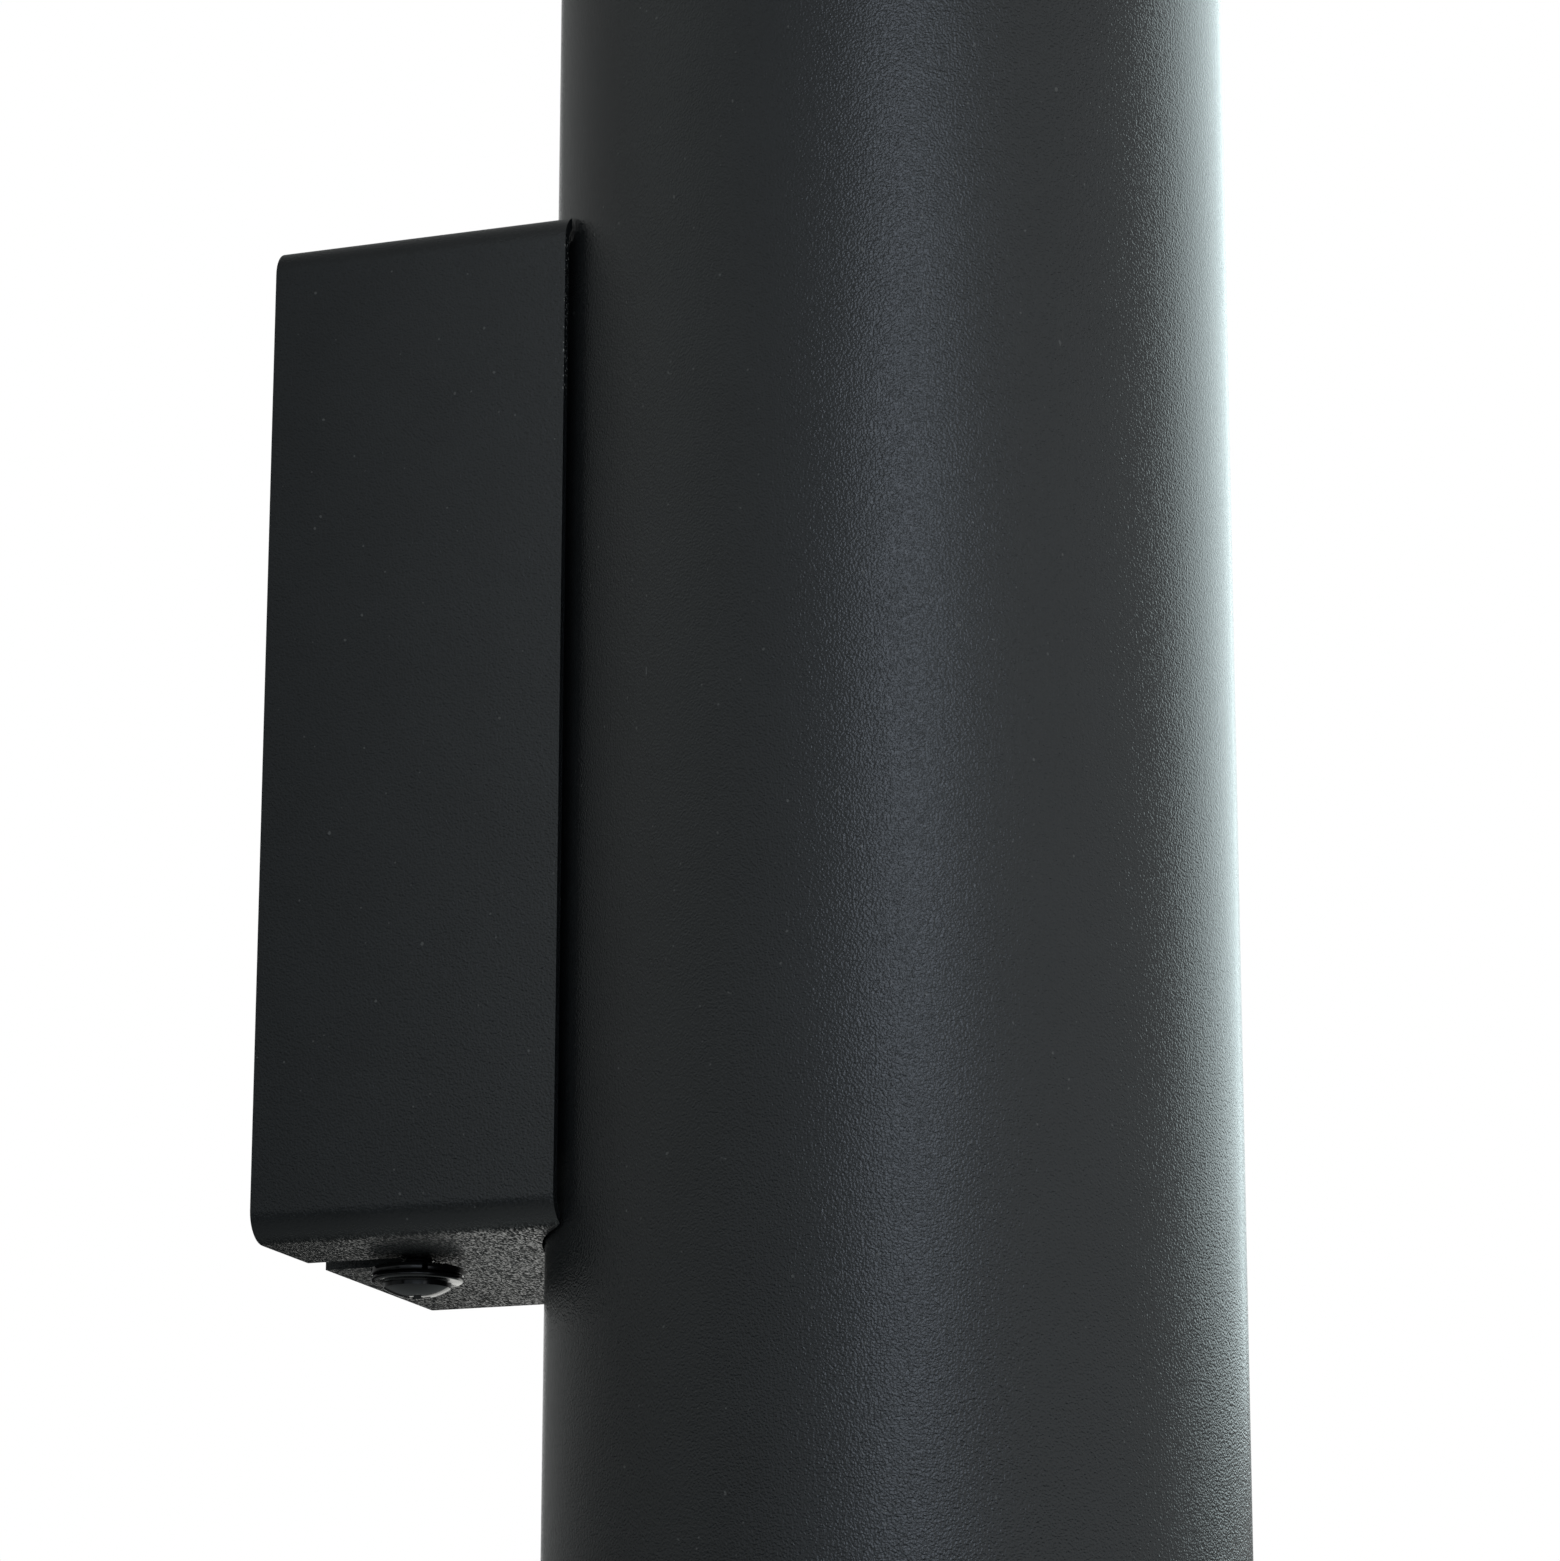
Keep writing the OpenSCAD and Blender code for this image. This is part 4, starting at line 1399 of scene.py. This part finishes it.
@dataclass
class LampEnd:
    """What holds and shades the reflector lamp at one end of the tube."""

    layout: Layout
    end: End
    holder_edge: float = 0.35 * MM
    ring_t: float = 1.2 * MM
    ring_band: float = 7 * MM
    ring_facets: int = 192
    lamp_gap: float = 1.5 * MM
    lip: float = 0.4 * MM

    def build(self) -> None:
        """Builds the lampholder, its contacts and the glare ring."""
        eased_piece(f"{self.end.word}_holder", Finishes.ceramic, self.holder_edge, segments=3)
        dressed_node(f"{self.end.word}_contacts", Finishes.brass)
        self.ring()

    def ring(self) -> None:
        """Builds the band and cone that close the space round the lamp."""
        low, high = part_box(f"{self.end.word}_glare_ring")
        outer, inner = high.x, high.x - self.ring_t
        mouth = max(abs(low.z), abs(high.z))
        throat = min(abs(low.z), abs(high.z)) + self.ring_t
        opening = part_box(f"{self.end.word}_bulb_shell")[1].x + self.lamp_gap
        bm = turned([(outer, mouth), (outer, mouth - self.ring_band), (inner, mouth - self.ring_band),
                     (inner, mouth - 2 * self.ring_t), (opening, throat - self.ring_t), (opening, throat),
                     (inner, mouth)], self.lip, self.ring_facets)
        moved(bm, self.end.facing, self.layout.on_axis())
        piece(f"{self.end.word}_glare_cone", bm, Finishes.inner, f"{self.end.word}_glare_ring")


@dataclass
class ReflectorLamp:
    """One plug-in reflector lamp: base, ribbed shell, milky front and two pins."""

    layout: Layout
    end: End
    facets: int = 144
    fit: float = 0.05 * MM
    base_r: float = 12.5 * MM
    base_h: float = 9.95 * MM
    base_edge: float = 0.5 * MM
    shell_from: float = 10 * MM
    shell_r: float = 25 * MM
    shell_edge: float = 0.25 * MM
    length: float = 50 * MM
    collar: float = 1.2 * MM
    step_out: float = 0.2 * MM
    step_up: float = 0.4 * MM
    rim_h: float = 4 * MM
    rim_step: float = 0.6 * MM
    wall: float = 1.6 * MM
    ribs: int = 24
    rib_depth: float = 0.9 * MM
    rib_half: float = 0.45 * MM
    rib_root: float = 0.09 * MM
    rib_back: float = 1.44 * MM
    rib_edge: float = 0.15 * MM
    rib_short: float = 0.3 * MM
    front_t: float = 1.6 * MM
    front_step: float = 0.55 * MM
    rings: int = 14
    ring_from: float = 0.8 * MM
    ring_pitch: float = 1.5 * MM
    ring_half: float = 0.45 * MM
    ring_depth: float = 0.16 * MM
    pin_edge: float = 0.25 * MM

    def build(self) -> None:
        """Builds the lamp's four parts."""
        word = self.end.word
        low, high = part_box(f"{word}_bulb_base")
        foot = abs(low.z if self.end is End.UPPER else high.z)
        at = self.layout.on_axis(self.end.value * foot)
        parts = (("base", self.base(), Finishes.white), ("shell", self.shell(), Finishes.white),
                 ("lens", self.front(), Finishes.lens))
        for name, bm, finish in parts:
            piece(f"{word}_lamp_{name}", moved(bm, self.end.facing, at), finish, f"{word}_bulb_{name}")
        eased_piece(f"{word}_bulb_pins", Finishes.tin, self.pin_edge, segments=3)

    def base(self) -> Mesh:
        """The round foot that carries the pins."""
        r, h = self.base_r, self.base_h
        return turned([(0, 0), (r, 0), (r, h), (0, h)], self.base_edge)

    def shell(self) -> Mesh:
        """Makes the funnel with a smooth rim and ribs down its side.

        Returns:
            Its mesh, drawn from the lamp's foot along +Z.
        """
        neck_z, neck_r = self.funnel_foot()
        flare = self.length - self.rim_h
        face = self.length - self.front_t - self.front_step - self.fit
        floor = self.shell_from + 2 * self.wall
        mouth, ledge = self.shell_r - self.wall, self.shell_r - 2 * self.wall
        profile = [(0, self.shell_from), (self.base_r + self.wall, self.shell_from),
                   (self.base_r + self.wall, self.shell_from + self.collar), (neck_r, neck_z),
                   (self.shell_r - self.rib_depth, flare - self.rim_step), (self.shell_r, flare),
                   (self.shell_r, self.length), (mouth, self.length), (mouth, face), (ledge, face),
                   (ledge, flare), (self.base_r - self.wall, floor), (0, floor)]
        bm = turned(profile, self.shell_edge, self.facets, segments=2)
        return joined(bm, *[self.rib(number, flare) for number in range(self.ribs)])

    def funnel_foot(self) -> tuple[float, float]:
        """The height and the radius at which the funnel starts over its collar."""
        return self.shell_from + self.collar + self.step_up, self.base_r + self.wall + self.step_out

    def rib(self, number: int, flare: float) -> Mesh:
        """Makes one cooling rib on the funnel's side.

        Args:
            number: which rib it is, counted round the lamp.
            flare: the height at which the funnel ends.

        Returns:
            Its mesh.
        """
        foot_z, foot_r = self.funnel_foot()
        deep = self.rib_depth
        bm = bmesh.new()
        face = loop_of(bm, [(foot_r - deep, foot_z + deep), (foot_r + self.rib_root, foot_z),
                            (self.shell_r, flare - self.rib_short), (self.shell_r - self.rib_back, flare)])
        for vert in face.verts:
            vert.co.y = -self.rib_half
        ease(extruded(bm, (0, 2 * self.rib_half, 0)), self.rib_edge)
        return moved(bm, Facing.UP, (0, 0, 0), FULL_TURN * number / self.ribs)

    def front(self) -> Mesh:
        """Makes the front disc with fine rings pressed into it.

        Returns:
            Its mesh, drawn from the lamp's foot along +Z.
        """
        outer = self.shell_r - self.wall - self.fit
        top = self.length - self.front_step
        foot = top - self.front_t
        rings = []
        for number in range(self.rings):
            near = outer - self.ring_from - self.ring_pitch * number
            rings += [(near, top), (near - self.ring_half, top - self.ring_depth),
                      (near - 2 * self.ring_half, top)]
        return turned([(0, foot), (outer, foot), (outer, top), *rings, (0, top)], 0.0, self.facets)


@dataclass
class Camera:
    """The camera at the photograph's place."""

    at: Vector = field(default_factory=lambda: Vector((-0.563454, -0.253414, -0.161764)))
    yaw: float = math.radians(19.496)
    pitch: float = math.radians(14.823)
    roll: float = math.radians(0.111)
    focal_px: float = 5247.1
    picture_h: int = 1561
    sensor: float = 36.0
    nearest: float = 10 * MM

    def place(self) -> None:
        """Sets the camera up and makes it the scene's own."""
        level = Vector((math.cos(self.yaw), math.sin(self.yaw), 0.0))
        ahead = level * math.cos(self.pitch) + Vector((0.0, 0.0, math.sin(self.pitch)))
        right = Vector((math.sin(self.yaw), -math.cos(self.yaw), 0.0))
        up = right.cross(ahead)
        tilted_right = right * math.cos(self.roll) + up * math.sin(self.roll)
        tilted_up = up * math.cos(self.roll) - right * math.sin(self.roll)
        data = bpy.data.cameras.new("camera")
        data.sensor_width = self.sensor
        data.lens = self.focal_px * self.sensor / self.picture_h
        data.clip_start = self.nearest
        made = linked("camera", data)
        axes = Matrix((tilted_right, tilted_up, -ahead)).transposed()
        made.matrix_world = Matrix.Translation(self.at) @ axes.to_4x4()
        bpy.context.scene.camera = made


@dataclass(frozen=True)
class SoftBox:
    """A soft studio light: where it stands, its size, its light and what it looks at."""

    name: str
    at: tuple[float, float, float]
    width: float
    height: float
    watts: float
    rgb: Rgb = (1.0, 1.0, 1.0)
    aim: tuple[float, float, float] = (0.0, -0.06, 0.0)

    def place(self) -> None:
        """Hangs the light where the camera doesn't see it."""
        data = bpy.data.lights.new(self.name, "AREA")
        data.shape = "RECTANGLE"
        data.size = self.width
        data.size_y = self.height
        data.energy = self.watts
        data.color = self.rgb
        made = linked(self.name, data)
        made.location = self.at
        made.rotation_euler = (Vector(self.aim) - Vector(self.at)).to_track_quat("-Z", "Y").to_euler()
        made.visible_camera = False


@dataclass
class Studio:
    """The plain studio: pale floor, white surroundings and soft lights."""

    floor_z: float = -1.5
    floor_half: float = 3.0
    floor_rgb: tuple[Rgb, Rgb] = ((0.6, 0.6, 0.59), (0.63, 0.63, 0.63))
    floor_cloud: float = 0.6
    floor_grain: float = 0.02
    floor_smoothest: float = 0.6
    floor_roughest: float = 0.7
    floor_lift: float = 0.5
    white: Rgb = (1.0, 1.0, 1.0)
    room_rgb: Rgb = (0.97, 1.0, 0.99)
    room_low: float = 0.02
    room_high: float = 0.22
    low_until: float = -0.10
    high_from: float = 0.06
    backdrop_way: tuple[float, float, float] = (0.9115, 0.3226, 0.2558)
    backdrop_half: float = math.radians(9)
    backdrop_fade: float = math.radians(5)
    lights: tuple[SoftBox, ...] = (
        SoftBox("key", (-0.76, -0.23, 0.17), 1.25, 0.95, 1.0, (0.80, 0.90, 1.0)),
        SoftBox("key_middle", (-1.527, -0.662, 0.32), 0.90, 1.3, 2.1, (0.75, 0.85, 1.0)),
        SoftBox("key_core", (-1.50, -0.70, 0.50), 0.45, 0.75, 1.9, (0.75, 0.85, 1.0)),
        SoftBox("room_fill", (-0.70, -1.94, 0.4), 2.2, 1.8, 6.2, (0.90, 0.96, 1.0)),
        SoftBox("room_back", (0.87, -1.91, 0.35), 1.2, 1.9, 3.0, (0.90, 0.97, 1.0)),
        SoftBox("side_fill", (-1.215, 1.527, 0.3), 1.5, 1.6, 0.75, (0.90, 1.0, 1.0)),
        SoftBox("high_fill", (-0.9, 1.55, 1.15), 1.8, 0.9, 0.9, (0.90, 1.0, 1.0)),
        SoftBox("rim", (1.95, -0.82, 1.15), 2.45, 1.9, 29.5, (0.84, 1.0, 1.02)),
        SoftBox("low_back", (0.35, -0.065, -0.165), 0.46, 0.14, 0.27, (1.0, 1.0, 0.96),
                (0.0, -0.05, -0.08)),
    )

    def build(self) -> None:
        """Builds floor, surroundings and lights."""
        self.floor()
        self.surroundings()
        for light in self.lights:
            light.place()
        bpy.context.scene.view_settings.view_transform = "Standard"

    def floor(self) -> None:
        """Builds the pale floor well below the lamp, a little paler where the camera sees it."""
        board = Board("floor")
        cloud = board.spread(board.noise(self.floor_cloud))
        board.colour(board.blend(cloud, *[paint(rgb) for rgb in self.floor_rgb]))
        board.gloss(board.spread(board.noise(self.floor_grain), self.floor_smoothest, self.floor_roughest))
        path = board.add("ShaderNodeLightPath").outputs
        board.feed("Emission Strength", board.maths("MULTIPLY", path["Is Camera Ray"], self.floor_lift))
        board.fix(Emission_Color=paint(self.white))
        bm = bmesh.new()
        bmesh.ops.create_grid(bm, x_segments=1, y_segments=1, size=self.floor_half)
        made = mesh_object("floor", bm)
        made.data.materials.append(board.material)
        made.location = (0.0, 0.0, self.floor_z)

    def surroundings(self) -> None:
        """White backdrop where it is seen, mirrored or looked through to, and soft light all round."""
        world = bpy.data.worlds.new("studio")
        bpy.context.scene.world = world
        world.use_nodes = True
        world.node_tree.nodes.clear()
        nodes = Nodes(world.node_tree, "Generated")
        path = nodes.add("ShaderNodeLightPath").outputs
        toward = nodes.add("ShaderNodeVectorMath", {0: nodes.place, 1: self.backdrop_way},
                           operation="DOT_PRODUCT").outputs["Value"]
        backdrop = nodes.level(toward, math.cos(self.backdrop_half + self.backdrop_fade),
                               math.cos(self.backdrop_half))
        mirrored = nodes.maths("MAXIMUM", path["Is Glossy Ray"], path["Is Transmission Ray"])
        seen = nodes.maths("MAXIMUM", path["Is Camera Ray"], nodes.maths("MULTIPLY", mirrored, backdrop))
        strength = nodes.level(nodes.along("Z"), self.low_until, self.high_from, self.room_low,
                               self.room_high)
        room = nodes.add("ShaderNodeBackground", {"Color": paint(self.room_rgb), "Strength": strength})
        white = nodes.add("ShaderNodeBackground", {"Color": paint(self.white)})
        mix = nodes.add("ShaderNodeMixShader", {0: seen, 1: room.outputs[0], 2: white.outputs[0]})
        nodes.add("ShaderNodeOutputWorld", {0: mix.outputs[0]})


def main() -> None:
    """Builds the lamp from the wall outwards, then the studio."""
    logging.basicConfig(level=logging.INFO, format="%(message)s")
    Camera().place()
    layout = Layout.read()
    assemblies = [Bracket(), ArmBox(layout), *[ScrewStack(end) for end in End], Saddle(), Tube(layout),
                  Carrier(), Wiring(layout), *[LampEnd(layout, end) for end in End],
                  *[ReflectorLamp(layout, end) for end in End]]
    for assembly in assemblies:
        log.info("building %s", type(assembly).__name__)
        assembly.build()
    Studio().build()


if __name__ == "__main__":
    main()
